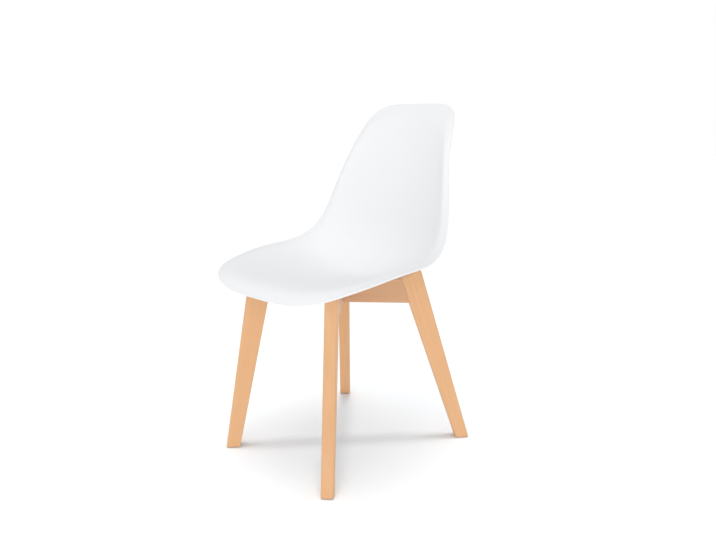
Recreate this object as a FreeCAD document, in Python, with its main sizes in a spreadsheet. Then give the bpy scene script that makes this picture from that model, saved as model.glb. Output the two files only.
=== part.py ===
import FreeCAD, Part
import math
import os
import re
import Sketcher

# Moulded shell chair on a crossed beech frame, in millimetres.
# +Z is up, the sitter faces -Y, +X is the sitter's left and the feet stand on Z = 0.

Vector = FreeCAD.Vector
UP = Vector(0, 0, 1)

# Guide stations of the shell, from the front lip over the pan to the top of the back.
# Each holds a control point of the centre line (y, z), the half width there and the
# dish, which is how far the rim stands above the centre line.
STATIONS = {
    "lip": (-266, 406.5, 192, -10),
    "nose": (-245, 440, 207, -5),
    "thigh": (-146, 433, 219, 20),
    "pan": (-43, 430, 231, 40),
    "hollow": (64, 409, 224, 61),
    "bend": (163.3, 481, 207.4, 45),
    "lumbar": (184.8, 628, 179, 33),
    "shoulder": (223, 747, 139, 23),
    "crown": (263, 820, 154, 9),
}
STATION_FIELDS = ("y", "z", "half", "dish")

# The other driving dimensions: name, value and what it measures.
DIMENSIONS = [
    ("front_round", 0.26, "share of the guide line over which the front corners round"),
    ("front_square", 3.5, "how square the front corners are, 2 is an ellipse"),
    ("crown_round", 0.195, "share of the guide line over which the top corners round"),
    ("crown_square", 4.6, "how square the top corners are"),
    ("section_power", 1.87, "how late the cross section turns up towards the rim"),
    ("shell_wall", 4.5, "wall of the moulding"),
    ("edge_bulge", 1.6, "how far the moulding's rounded edge stands past its wall"),
    ("lip_width", 40, "width of the lip round the rim"),
    ("lip_turn", 0.6, "share of the lip's width over which it turns, the rest is straight"),
    ("lip_roll", 12, "how far the lip turns back from the sitter"),
    ("boss_radius", 11, "screw boss under the pan"),
    ("boss_length", 12, "shortest boss, from the pan's underside to its rubber pad"),
    ("insert_radius", 4, "threaded insert in a boss"),
    ("insert_length", 10, "threaded insert, along its bore"),
    ("tip_length", 1.4, "how far a seat bolt's tip stands out of its insert"),
    ("tip_room", 1.1, "room past a seat bolt's tip in its boss"),
    ("pad_radius", 10, "rubber pad between boss and rail"),
    ("pad_thickness", 2, "rubber pad, pressed flat"),
    ("cross_y", -20, "where the rails cross, ahead of the middle of the chair"),
    ("rail_angle", 50, "a rail's angle to the X axis, in degrees"),
    ("rail_thickness", 27.5, "rail board, flush with the legs"),
    ("rail_depth", 52.5, "rail board from top to bottom at the crossing"),
    ("rail_rake", 1.7, "slope of a rail's lower edge towards the rear, in degrees"),
    ("rail_round", 2, "rounded arris along a rail's lower edge"),
    ("notch_clearance", 0.2, "play each side of the halving joint"),
    ("front_reach", 268, "from the crossing to a front foot's outer edge"),
    ("rear_reach", 332, "from the crossing to a rear foot's outer edge"),
    ("front_lean", 8.2, "lean of a front leg's outer edge, in degrees"),
    ("rear_lean", 17.7, "lean of a rear leg's outer edge, in degrees"),
    ("foot_width", 32.5, "leg board across its foot"),
    ("knee_width", 51, "leg board where it meets the rail's lower edge"),
    ("leg_thickness", 27.5, "leg board"),
    ("front_head_rise", 1, "how far a front leg's head rises outwards above the rail"),
    ("rear_head_rise", 24, "how far a rear leg's head rises outwards above the rail"),
    ("outer_arris_radius", 5, "rounded outer arrises of a leg"),
    ("inner_arris_radius", 2, "rounded inner arrises of a leg"),
    ("front_boss_reach", 115, "from the crossing to a front boss"),
    ("rear_boss_reach", 98, "from the crossing to a rear boss"),
    ("bolt_radius", 3, "shank of every bolt"),
    ("bolt_hole_radius", 3.3, "clearance hole for a bolt in wood"),
    ("head_radius", 5, "socket head of a bolt"),
    ("head_height", 6, "socket head of a bolt"),
    ("head_chamfer", 0.5, "chamfer round a bolt's head"),
    ("thread_chamfer", 0.8, "chamfer at a bolt's tip"),
    ("socket_radius", 2.9, "corner radius of the hexagon socket"),
    ("socket_depth", 3, "hexagon socket"),
    ("washer_radius", 6, "flat washer"),
    ("washer_thickness", 1.6, "flat washer"),
    ("counterbore_radius", 6.6, "counterbore for a bolt's head and washer"),
    ("seat_grip", 40, "wood between a seat bolt's washer and the rail's top"),
    ("cross_bore_depth", 8, "counterbores of the crossing's bolt, above and below"),
    ("nut_corner_radius", 5.7, "hexagon nut over its corners"),
    ("nut_height", 5, "hexagon nut"),
    ("dowel_radius", 4, "dowel between leg and rail"),
    ("dowel_length", 36, "dowel, half in each board"),
    ("dowel_spacing", 24, "height between the two dowels of a joint"),
    ("dowel_chamfer", 0.8, "chamfer at a dowel's ends"),
    ("glue_gap", 0.1, "room round a dowel or pin in its hole"),
    ("glide_radius", 10, "nylon glide under a foot"),
    ("glide_thickness", 2.5, "nylon glide under a foot"),
    ("glide_chamfer", 0.5, "chamfer round a glide's lower face"),
    ("glide_pin_radius", 2, "pin of a glide, driven into the foot"),
    ("glide_pin_length", 14, "pin of a glide"),
    ("glide_point_radius", 0.5, "blunt point of a glide's pin"),
]

# The shell's control net: places round the rim, rings from the hub out to the lip, distances
# from the rim of the rings in the lip, and how many rings at the hub lie flat.
ANGLE_COUNT = 120
FIELD_RINGS = 18
LIP_DISTANCES = (42, 33, 26, 20, 14.5, 9.5, 5, 2, 0)
FLAT_RINGS = 2
HUB_ALONG = 0.40
RIM_STEPS = 400
RAY_STEPS = 30
SEWING_TOLERANCE = 0.01
MATCH_TOLERANCE = 0.01
CUT_ENTRY = 1.0
CORNERS = {
    "front_left": ("front", 1),
    "front_right": ("front", -1),
    "rear_left": ("rear", 1),
    "rear_right": ("rear", -1),
}

doc = FreeCAD.newDocument("shell_chair")
sheet = doc.addObject("Spreadsheet::Sheet", "Sizes")
sizes = {}


def write_size(name, value, note):
    """Writes one size into the sheet as a plain number with an alias and a note."""
    row = len(sizes) + 1
    sheet.set("A%d" % row, note)
    sheet.set("B%d" % row, str(value))
    sheet.setAlias("B%d" % row, name)
    sizes[name] = float(value)


def link(expression):
    """Puts the sheet's name before each alias in an expression."""
    return re.sub(r"[a-z]+(_[a-z]+)+", lambda word: "Sizes." + word.group(0), expression)


for station, numbers in STATIONS.items():
    for field, number in zip(STATION_FIELDS, numbers):
        write_size(station + "_" + field, number, "shell station " + station)
for entry in DIMENSIONS:
    write_size(*entry)
doc.recompute()


# The shell's surface

def guide_curve(points):
    """A clamped cubic curve that is steered by the points."""
    spans = len(points) - 3
    curve = Part.BSplineCurve()
    knots = [span / spans for span in range(spans + 1)]
    counts = [4] + [1] * (spans - 1) + [4]
    curve.buildFromPolesMultsKnots(points, counts, knots, False, 3)
    return curve


centre_line = guide_curve([Vector(0, sizes[name + "_y"], sizes[name + "_z"]) for name in STATIONS])
spread_line = guide_curve([Vector(sizes[name + "_half"], sizes[name + "_dish"], 0) for name in STATIONS])


def centre_normal(along):
    """Direction out of the centre line towards the sitter."""
    tangent = centre_line.tangent(along)[0]
    return Vector(0, -tangent.z, tangent.y)


def skin_point(along, across, lift=0.0):
    """A point of the shell's face: along from lip to crown, across from -1 to 1."""
    spread = spread_line.value(along)
    rise = spread.y * abs(across) ** sizes["section_power"] + lift
    return centre_line.value(along) + centre_normal(along) * rise + Vector(spread.x * across, 0, 0)


def superellipse(turn, power):
    """Quarter superellipse: 0 gives (1, 0) and 1 gives (0, 1)."""
    angle = turn * math.pi / 2
    return max(math.cos(angle), 0.0) ** (2 / power), math.sin(angle) ** (2 / power)


def rim_plan():
    """Places along the left half of the rim, from the lip's middle to the crown's middle."""
    plan = []
    for step in range(RIM_STEPS + 1):
        back, across = superellipse(step / RIM_STEPS, sizes["front_square"])
        plan.append((sizes["front_round"] * (1 - back), across))
    straight = 1 - sizes["front_round"] - sizes["crown_round"]
    for step in range(1, RIM_STEPS):
        plan.append((sizes["front_round"] + straight * step / RIM_STEPS, 1.0))
    for step in range(RIM_STEPS, -1, -1):
        back, across = superellipse(step / RIM_STEPS, sizes["crown_square"])
        plan.append((1 - sizes["crown_round"] * (1 - back), across))
    return plan


def evenly_spaced(plan, count):
    """Places of the plan at equal distances over the shell's face, both ends included."""
    points = [skin_point(*place) for place in plan]
    travelled = [0.0]
    for before, after in zip(points, points[1:]):
        travelled.append(travelled[-1] + before.distanceToPoint(after))
    places = []
    index = 0
    for number in range(count + 1):
        target = travelled[-1] * number / count
        while index < len(plan) - 2 and travelled[index + 1] < target:
            index += 1
        span = travelled[index + 1] - travelled[index]
        share = (target - travelled[index]) / span if span > 0 else 0.0
        start, end = plan[index], plan[index + 1]
        places.append((start[0] + (end[0] - start[0]) * share, start[1] + (end[1] - start[1]) * share))
    return places


def ray_point(rim_place, reach):
    """Place on the way from the pan's hub to a place on the rim, reach from 0 to 1."""
    along, across = rim_place
    return HUB_ALONG + (along - HUB_ALONG) * reach, across * reach


def ray_length(rim_place):
    """Length over the shell's face from the hub to a place on the rim."""
    points = [skin_point(*ray_point(rim_place, step / RAY_STEPS)) for step in range(RAY_STEPS + 1)]
    return sum(before.distanceToPoint(after) for before, after in zip(points, points[1:]))


def lip_lift(reach, distance):
    """Lift towards the sitter that turns the rim over into a lip with a straight outer part."""
    share = max(1 - distance / sizes["lip_width"], 0.0)
    turned_share = min(share, sizes["lip_turn"])
    roll = turned_share * (share - turned_share / 2) / (sizes["lip_turn"] * (1 - sizes["lip_turn"] / 2))
    return sizes["lip_roll"] * (reach ** 4 - roll)


def face_rows():
    """Control rows of the shell's face, from a small ring round the hub to the rim."""
    half = evenly_spaced(rim_plan(), ANGLE_COUNT // 2)
    mirrored = [(along, -across) for along, across in reversed(half[1:-1])]
    rim = half + mirrored
    lengths = [ray_length(place) for place in rim]
    hub = skin_point(HUB_ALONG, 0.0)
    normal = centre_normal(HUB_ALONG)
    rows = []
    for ring in range(FIELD_RINGS + len(LIP_DISTANCES)):
        row = []
        for place, length in zip(rim, lengths):
            if ring < FIELD_RINGS:
                distance = length - (length - LIP_DISTANCES[0]) * (ring + 1) / (FIELD_RINGS + 1)
            else:
                distance = LIP_DISTANCES[ring - FIELD_RINGS]
            reach = 1 - distance / length
            point = skin_point(*ray_point(place, reach), lip_lift(reach, distance))
            if ring < FLAT_RINGS:
                point = point - normal * (point - hub).dot(normal)
            row.append(point)
        rows.append(row)
    return rows


def face_normal(rows, ring, index):
    """Normal of the control net, towards the sitter."""
    inner = rows[max(ring - 1, 0)][index]
    outer = rows[min(ring + 1, len(rows) - 1)][index]
    before = rows[ring][index - 1]
    after = rows[ring][(index + 1) % ANGLE_COUNT]
    return (outer - inner).cross(after - before).normalize()


def underside_rows(rows):
    """Control rows of the underside, one wall behind the face."""
    hub_normal = centre_normal(HUB_ALONG)
    under = []
    for ring, row in enumerate(rows):
        shifted = []
        for index, point in enumerate(row):
            normal = hub_normal if ring < FLAT_RINGS else face_normal(rows, ring, index)
            shifted.append(point - normal * sizes["shell_wall"])
        under.append(shifted)
    return under


def ring_surface(rows):
    """A smooth surface that is closed round the rim and steered by the rows."""
    spans = len(rows) - 3
    surface = Part.BSplineSurface()
    surface.buildFromPolesMultsKnots(
        rows,
        [4] + [1] * (spans - 1) + [4],
        [1] * (ANGLE_COUNT + 1),
        [float(span) for span in range(spans + 1)],
        [float(knot) for knot in range(ANGLE_COUNT + 1)],
        False, True, 3, 3)
    return surface.toShape()


def hub_plug(ring_face):
    """The flat round patch that closes the surface at its hub."""
    edges = sorted(ring_face.Edges, key=lambda edge: edge.Length)
    closed = [edge for edge in edges if edge.isClosed()]
    return Part.Face(Part.Wire([closed[0]]))


def shell_skin():
    """The moulding without its bosses, as one closed solid."""
    face = face_rows()
    under = underside_rows(face)
    outer_face, outer_under = [], []
    for index in range(ANGLE_COUNT):
        outwards = (face[-1][index] - face[-2][index]).normalize() * sizes["edge_bulge"]
        outer_face.append(face[-1][index] + outwards)
        outer_under.append(under[-1][index] + outwards)
    edge_rows = [face[-1], outer_face, outer_under, under[-1]]
    top, bottom, edge = ring_surface(face), ring_surface(under), ring_surface(edge_rows)
    skin = Part.makeCompound([top, hub_plug(top), bottom, hub_plug(bottom), edge])
    skin.sewShape(SEWING_TOLERANCE)
    solid = Part.Solid(skin.Shells[0])
    solid.fix(SEWING_TOLERANCE / 10, SEWING_TOLERANCE / 10, SEWING_TOLERANCE / 10)
    return solid if solid.Volume > 0 else solid.reversed()


def corner_direction(corner):
    """Unit vector from the crossing out along a corner's rail."""
    end, side = CORNERS[corner]
    angle = math.radians(sizes["rail_angle"])
    return Vector(side * math.cos(angle), -math.sin(angle) if end == "front" else math.sin(angle), 0)


def corner_point(corner, reach, height):
    """A point over a corner's rail, reach from the crossing and height over the floor."""
    return Vector(0, sizes["cross_y"], height) + corner_direction(corner) * reach


def boss_point(corner, height=0.0):
    """A point on the axis of a corner's boss."""
    return corner_point(corner, sizes[CORNERS[corner][0] + "_boss_reach"], height)


def wall_span(skin, point):
    """Heights where the upright line through the point enters and leaves the wall."""
    line = Part.makeLine(Vector(point.x, point.y, 0), Vector(point.x, point.y, sizes["crown_z"] * 2))
    lowest = min(skin.common(line).Edges, key=lambda edge: edge.BoundBox.ZMin)
    return lowest.BoundBox.ZMin, lowest.BoundBox.ZMax


def middle_plane(skin, point):
    """Place in the middle of the wall over the point, turned so that its Z is square to the wall."""
    probe = sizes["boss_radius"] / 2
    heights = [sum(wall_span(skin, point + step)) / 2
               for step in (Vector(), Vector(probe, 0, 0), Vector(0, probe, 0))]
    across = Vector(probe, 0, heights[1] - heights[0])
    along = Vector(0, probe, heights[2] - heights[0])
    return FreeCAD.Placement(Vector(point.x, point.y, heights[0]),
                             FreeCAD.Rotation(UP, across.cross(along)))


def boss(skin, corner):
    """A screw boss that grows out of the middle of the pan's wall."""
    start = boss_point(corner, sizes["rail_top"] + sizes["pad_thickness"])
    height = sizes["crown_z"] - start.z
    post = Part.makeCylinder(sizes["boss_radius"], height, start)
    above = Part.makeBox(2 * height, 2 * height, 2 * height, Vector(-height, -height, 0))
    above.Placement = middle_plane(skin, start)
    return post.cut(above)


def insert_hole(corner):
    """The blind hole that a threaded insert is pressed into."""
    start = boss_point(corner, sizes["rail_top"] + sizes["pad_thickness"] - CUT_ENTRY)
    depth = CUT_ENTRY + sizes["insert_length"] + sizes["tip_length"] + sizes["tip_room"]
    return Part.makeCylinder(sizes["insert_radius"] + sizes["glue_gap"], depth, start)


# Bodies, sketches and features

def body_named(label):
    """A new body whose label names its file."""
    body = doc.addObject("PartDesign::Body", label)
    body.Label = label
    return body


def sketch_on(body, role, name):
    """A new sketch on one of the body's own planes."""
    sketch = body.newObject("Sketcher::SketchObject", name)
    plane = [item for item in body.Origin.OriginFeatures if item.Role == role][0]
    sketch.AttachmentSupport = [(plane, "")]
    sketch.MapMode = "FlatFace"
    return sketch


def pin(sketch, line, direction, expression):
    """Fixes the start of a line at a distance from the sketch's origin."""
    value = float(sketch.evalExpression(expression))
    if abs(value) < 1e-7:
        axis = -2 if direction == "DistanceX" else -1
        sketch.addConstraint(Sketcher.Constraint("PointOnObject", line, 1, axis))
        return
    if value > 0:
        constraint = Sketcher.Constraint(direction, -1, 1, line, 1, value)
    else:
        constraint = Sketcher.Constraint(direction, line, 1, -1, 1, -value)
        expression = "-(" + expression + ")"
    index = sketch.addConstraint(constraint)
    sketch.setExpression("Constraints[%d]" % index, expression)


def draw_outline(sketch, corners):
    """Draws a closed outline whose corners are pairs of expressions."""
    pairs = [(link(across), link(up)) for across, up in corners]
    places = [Vector(float(sketch.evalExpression(across)), float(sketch.evalExpression(up)), 0)
              for across, up in pairs]
    first = len(sketch.Geometry)
    for start, end in zip(places, places[1:] + places[:1]):
        sketch.addGeometry(Part.LineSegment(start, end), False)
    count = len(pairs)
    for number in range(count):
        following = first + (number + 1) % count
        sketch.addConstraint(Sketcher.Constraint("Coincident", first + number, 2, following, 1))
    for number, (across, up) in enumerate(pairs):
        pin(sketch, first + number, "DistanceX", across)
        pin(sketch, first + number, "DistanceY", up)


def turned(label, corners):
    """A round piece: its half section is turned about the body's Z axis."""
    body = body_named(label)
    sketch = sketch_on(body, "XZ_Plane", label + "_section")
    draw_outline(sketch, corners)
    turn = body.newObject("PartDesign::Revolution", label + "_turn")
    turn.Profile = sketch
    turn.ReferenceAxis = (sketch, ["V_Axis"])
    turn.Angle = 360
    return body


def hexagon(radius):
    """Corners of a hexagon, as expressions of its corner radius."""
    flat, half = radius + " * cos(30 deg)", radius + " / 2"
    return [("0", radius), ("-" + flat, half), ("-" + flat, "-" + half),
            ("0", "-" + radius), (flat, "-" + half), (flat, half)]


def board(label, corners, thickness):
    """A board cut to an outline that stands in the body's XZ plane."""
    body = body_named(label)
    sketch = sketch_on(body, "XZ_Plane", label + "_outline")
    draw_outline(sketch, corners)
    pad = body.newObject("PartDesign::Pad", label + "_board")
    pad.Profile = sketch
    pad.SideType = "Symmetric"
    pad.setExpression("Length", link(thickness))
    doc.recompute()
    return body, pad


def round_edges(body, feature, name, radius, middles):
    """Rounds the edges of a board whose middles are listed."""
    edges = ["Edge%d" % (number + 1) for number, edge in enumerate(feature.Shape.Edges)
             if any(edge.CenterOfMass.isEqual(point, MATCH_TOLERANCE) for point in middles)]
    fillet = body.newObject("PartDesign::Fillet", name)
    fillet.Base = (feature, edges)
    fillet.setExpression("Radius", link(radius))
    doc.recompute()
    return fillet


def bore(body, name, start, angle, radius, depth, back=str(CUT_ENTRY)):
    """Bores a round hole in the middle plane of a board, from start along an angle.

    The cut begins back behind the start, so that it opens the face cleanly.
    """
    sketch = sketch_on(body, "XZ_Plane", name + "_section")
    sketch.setExpression("AttachmentOffset.Base.x", link(start[0]))
    sketch.setExpression("AttachmentOffset.Base.y", link(start[1]))
    sketch.setExpression("AttachmentOffset.Rotation.Angle", link(angle))
    doc.recompute()
    behind = "-(" + back + ")"
    draw_outline(sketch, [(behind, "0"), (depth, "0"), (depth, radius), (behind, radius)])
    groove = body.newObject("PartDesign::Groove", name)
    groove.Profile = sketch
    groove.ReferenceAxis = (sketch, ["H_Axis"])
    groove.Angle = 360
    doc.recompute()
    return groove


# Lines of the frame, in a board's own plane: across is the reach from the crossing

KNEE_HEIGHT = "(rail_top - rail_depth)"
RAKE = "tan(rail_rake * 1 deg)"


def outer_line(end, height):
    """Reach of a leg's outer edge at a height."""
    return "(%s_reach - tan(%s_lean * 1 deg) * (%s))" % (end, end, height)


def inner_slope(end):
    """How fast a leg's inner edge comes in as it rises."""
    return "(tan(%s_lean * 1 deg) + (knee_width - foot_width) / %s)" % (end, KNEE_HEIGHT)


def inner_line(end, height):
    """Reach of a leg's inner edge at a height."""
    return "(%s_reach - foot_width - %s * (%s))" % (end, inner_slope(end), height)


def rail_underside(end):
    """Height where a rail's raked lower edge meets a leg's inner edge."""
    rake = RAKE if end == "front" else "(-" + RAKE + ")"
    reach = "(%s_reach - foot_width)" % end
    return "((%s + %s * %s) / (1 + %s * %s))" % (KNEE_HEIGHT, rake, reach, rake, inner_slope(end))


def dowel_height(end, level):
    """Height of a dowel on the joint line: level is -1 for the lower one, 1 for the upper."""
    return "((rail_top + %s) / 2 + %d * dowel_spacing / 2)" % (rail_underside(end), level)


LEVELS = {"lower": -1, "upper": 1}


def make_leg(corner):
    """A tapered leg board with its dowel holes and the hole for its glide."""
    end = CORNERS[corner][0]
    head = "(rail_top + %s_head_rise)" % end
    label = "leg_" + corner
    body, pad = board(label, [
        (inner_line(end, "glide_thickness"), "glide_thickness"),
        (outer_line(end, "glide_thickness"), "glide_thickness"),
        (outer_line(end, head), head),
        (inner_line(end, "rail_top"), "rail_top"),
    ], "leg_thickness")
    tall = [edge for edge in pad.Shape.Edges
            if edge.BoundBox.ZLength > (sizes["rail_top"] - sizes["glide_thickness"]) / 2]
    middle = sum(edge.BoundBox.Center.x for edge in tall) / len(tall)
    outer = [edge.CenterOfMass for edge in tall if edge.BoundBox.Center.x > middle]
    inner = [edge.CenterOfMass for edge in tall if edge.BoundBox.Center.x < middle]
    rounded = round_edges(body, pad, label + "_outer_round", "outer_arris_radius", outer)
    round_edges(body, rounded, label + "_inner_round", "inner_arris_radius", inner)
    for name, level in LEVELS.items():
        height = dowel_height(end, level)
        bore(body, label + "_" + name + "_dowel_hole", (inner_line(end, height), height),
             "atan(%s)" % inner_slope(end), "dowel_radius + glue_gap",
             "dowel_length / 2 + glue_gap")
    bore(body, label + "_glide_hole", (foot_middle(end), "glide_thickness"), "90 deg",
         "glide_pin_radius + glue_gap", "glide_pin_length + glue_gap")
    place(body, corner_point(corner, 0, 0), corner_direction(corner))
    return body


def foot_middle(end):
    """Reach of the middle of a foot."""
    return "((%s + %s) / 2)" % (inner_line(end, "glide_thickness"), outer_line(end, "glide_thickness"))


def make_rail(label, front_corner, notch_side):
    """A rail board from a front leg to the rear leg across, halved at the crossing."""
    ends = {"front": -1, "rear": 1}
    body, pad = board(label, [
        ("-" + inner_line("front", rail_underside("front")), rail_underside("front")),
        (inner_line("rear", rail_underside("rear")), rail_underside("rear")),
        (inner_line("rear", "rail_top"), "rail_top"),
        ("-" + inner_line("front", "rail_top"), "rail_top"),
    ], "rail_thickness")
    long_edges = [edge for edge in pad.Shape.Edges if edge.BoundBox.XLength > sizes["rail_depth"] * 2]
    knee = sizes["rail_top"] - sizes["rail_depth"] / 2
    low = [edge.CenterOfMass for edge in long_edges if edge.BoundBox.Center.z < knee]
    round_edges(body, pad, label + "_round", "rail_round", low)
    cut_notch(body, label, notch_side)
    for end, sign in ends.items():
        for name, level in LEVELS.items():
            height = dowel_height(end, level)
            reach = inner_line(end, height)
            lean = "atan(%s)" % inner_slope(end)
            start = (reach if sign > 0 else "-" + reach, height)
            angle = "180 deg + " + lean if sign > 0 else "-" + lean
            bore(body, "%s_%s_%s_dowel_hole" % (label, end, name), start, angle,
                 "dowel_radius + glue_gap", "dowel_length / 2 + glue_gap")
        reach = "%d * %s_boss_reach" % (sign, end)
        bore(body, "%s_%s_bolt_hole" % (label, end), (reach, "rail_top"), "-90 deg",
             "bolt_hole_radius", "rail_depth * 1.5")
        bore(body, "%s_%s_counterbore" % (label, end), (reach, "rail_top - seat_grip"), "-90 deg",
             "counterbore_radius", "rail_depth", "0")
    bore(body, label + "_cross_hole", ("0", "rail_top"), "-90 deg", "bolt_hole_radius", "rail_depth * 1.5")
    low_side = notch_side > 0
    start = KNEE_HEIGHT + " + cross_bore_depth" if low_side else "rail_top - cross_bore_depth"
    bore(body, label + "_cross_counterbore", ("0", start), "-90 deg" if low_side else "90 deg",
         "counterbore_radius", "rail_depth / 2", "0")
    place(body, corner_point(front_corner, 0, 0), corner_direction(front_corner) * -1)
    return body


def cut_notch(body, label, notch_side):
    """Cuts the skewed notch of the halving joint, above (1) or below (-1) the rail's middle."""
    turn = "tan((180 - 2 * rail_angle) * 1 deg)" if notch_side > 0 else "tan((2 * rail_angle) * 1 deg)"
    sine = "sin(2 * rail_angle * 1 deg)"
    edge = "(rail_thickness)"
    half = "((rail_thickness / 2 + notch_clearance) / %s)" % sine
    corners = []
    for side, lean in ((-1, -1), (1, -1), (1, 1), (-1, 1)):
        corners.append(("%d * %s + %d * %s / %s" % (side, half, lean, edge, turn), "%d * %s" % (lean, edge)))
    sketch = sketch_on(body, "XY_Plane", label + "_notch_outline")
    sketch.setExpression("AttachmentOffset.Base.z", link("rail_top - rail_depth / 2"))
    doc.recompute()
    draw_outline(sketch, corners)
    notch = body.newObject("PartDesign::Pocket", label + "_notch")
    notch.Profile = sketch
    notch.setExpression("Length", link("rail_depth"))
    notch.Reversed = notch_side > 0
    doc.recompute()


def place(body, point, direction, tilt=None):
    """Stands a body at a point with its X axis towards a level direction."""
    level = FreeCAD.Rotation(UP, math.degrees(math.atan2(direction.y, direction.x)))
    body.Placement = FreeCAD.Placement(point, level if tilt is None else level.multiply(tilt))


def ring_section(inner, outer, height, start="0"):
    """Half section of a plain ring."""
    top = "%s + %s" % (start, height)
    return [(inner, start), (outer, start), (outer, top), (inner, top)]


def make_bolt(label, length):
    """A socket head bolt that points up, with its head's underside at Z = 0."""
    body = turned(label, [
        ("0", "-head_height"), ("head_radius - head_chamfer", "-head_height"),
        ("head_radius", "head_chamfer - head_height"), ("head_radius", "0"), ("bolt_radius", "0"),
        ("bolt_radius", length + " - thread_chamfer"), ("bolt_radius - thread_chamfer", length),
        ("0", length)])
    doc.recompute()
    sketch = sketch_on(body, "XY_Plane", label + "_socket_outline")
    sketch.setExpression("AttachmentOffset.Base.z", link("-head_height"))
    doc.recompute()
    draw_outline(sketch, hexagon("socket_radius"))
    socket = body.newObject("PartDesign::Pocket", label + "_socket")
    socket.Profile = sketch
    socket.setExpression("Length", link("socket_depth"))
    socket.Reversed = True
    doc.recompute()
    return body


def make_washer(label):
    """A flat washer that lies on Z = 0 and reaches down."""
    return turned(label, ring_section("bolt_hole_radius", "washer_radius", "washer_thickness",
                                      "-washer_thickness"))


def make_nut(label):
    """A hexagon nut that stands on Z = 0."""
    body = body_named(label)
    sketch = sketch_on(body, "XY_Plane", label + "_outline")
    draw_outline(sketch, hexagon("nut_corner_radius"))
    hole = sketch.addGeometry(Part.Circle(Vector(), UP, sizes["bolt_radius"]), False)
    sketch.addConstraint(Sketcher.Constraint("Coincident", hole, 3, -1, 1))
    index = sketch.addConstraint(Sketcher.Constraint("Radius", hole, sizes["bolt_radius"]))
    sketch.setExpression("Constraints[%d]" % index, link("bolt_radius + glue_gap"))
    pad = body.newObject("PartDesign::Pad", label + "_pad")
    pad.Profile = sketch
    pad.setExpression("Length", link("nut_height"))
    return body


def make_dowel(corner, name):
    """A chamfered dowel across the joint between a leg and its rail."""
    end = CORNERS[corner][0]
    body = turned("dowel_%s_%s" % (corner, name), [
        ("0", "-dowel_length / 2"), ("dowel_radius - dowel_chamfer", "-dowel_length / 2"),
        ("dowel_radius", "dowel_chamfer - dowel_length / 2"),
        ("dowel_radius", "dowel_length / 2 - dowel_chamfer"),
        ("dowel_radius - dowel_chamfer", "dowel_length / 2"), ("0", "dowel_length / 2")])
    height = dowel_height(end, LEVELS[name])
    reach = measure(inner_line(end, height))
    lean = math.degrees(math.atan(measure(inner_slope(end))))
    tilt = FreeCAD.Rotation(Vector(0, 1, 0), 90 - lean)
    place(body, corner_point(corner, reach, measure(height)), corner_direction(corner), tilt)
    return body


def make_glide(corner):
    """A nylon glide with a pin, driven up into a foot."""
    body = turned("glide_" + corner, [
        ("0", "0"), ("glide_radius - glide_chamfer", "0"), ("glide_radius", "glide_chamfer"),
        ("glide_radius", "glide_thickness"), ("glide_pin_radius", "glide_thickness"),
        ("glide_pin_radius", "glide_thickness + glide_pin_length - glide_pin_radius + glide_point_radius"),
        ("glide_point_radius", "glide_thickness + glide_pin_length"),
        ("0", "glide_thickness + glide_pin_length")])
    place(body, corner_point(corner, measure(foot_middle(CORNERS[corner][0])), 0), corner_direction(corner))
    return body


def measure(expression):
    """The present value of an expression of the sheet's aliases."""
    return float(sheet.evalExpression(link(expression)))


def fasten_seat(corner):
    """The bolt, washer, rubber pad and threaded insert of one boss."""
    top = sizes["rail_top"]
    grip = top - sizes["seat_grip"]
    insert = turned("insert_" + corner, ring_section("bolt_radius + glue_gap", "insert_radius",
                                                     "insert_length"))
    pad = turned("pad_" + corner, ring_section("bolt_hole_radius", "pad_radius", "pad_thickness"))
    washer = make_washer("seat_washer_" + corner)
    bolt = make_bolt("seat_bolt_" + corner, "(washer_thickness + seat_grip + pad_thickness"
                     " + insert_length + tip_length)")
    heights = (top + sizes["pad_thickness"], top, grip, grip - sizes["washer_thickness"])
    pieces = [insert, pad, washer, bolt]
    for piece, height in zip(pieces, heights):
        place(piece, boss_point(corner, height), corner_direction(corner))
    return pieces


def fasten_crossing():
    """The bolt, washers and nut that hold the halving joint together."""
    middle = Vector(0, sizes["cross_y"], 0)
    low = measure(KNEE_HEIGHT + " + cross_bore_depth")
    high = measure("rail_top - cross_bore_depth")
    lower_washer = make_washer("cross_washer_lower")
    upper_washer = make_washer("cross_washer_upper")
    bolt = make_bolt("cross_bolt", "(rail_depth - 2 * cross_bore_depth + 2 * washer_thickness + nut_height)")
    nut = make_nut("cross_nut")
    heights = (low, high + sizes["washer_thickness"], low - sizes["washer_thickness"],
               high + sizes["washer_thickness"])
    pieces = [lower_washer, upper_washer, bolt, nut]
    for piece, height in zip(pieces, heights):
        place(piece, middle + UP * height, Vector(1, 0, 0))
    return pieces


def make_shell(skin):
    """The moulding: its skin with four bosses, bored for the inserts."""
    shape = skin
    for corner in CORNERS:
        shape = shape.fuse(boss(skin, corner))
    for corner in CORNERS:
        shape = shape.cut(insert_hole(corner))
    shell = doc.addObject("Part::Feature", "seat_shell")
    shell.Label = "seat_shell"
    shell.Shape = shape.Solids[0]
    return shell


def check(pieces):
    """Stops if a feature failed or a piece has no valid shape."""
    for item in doc.Objects:
        if "Invalid" in item.State or "Error" in item.State:
            raise RuntimeError("feature failed: " + item.Label)
    for piece in pieces:
        if piece.Shape.isNull() or not piece.Shape.isValid() or not piece.Shape.Solids:
            raise RuntimeError("no valid solid: " + piece.Label)


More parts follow.
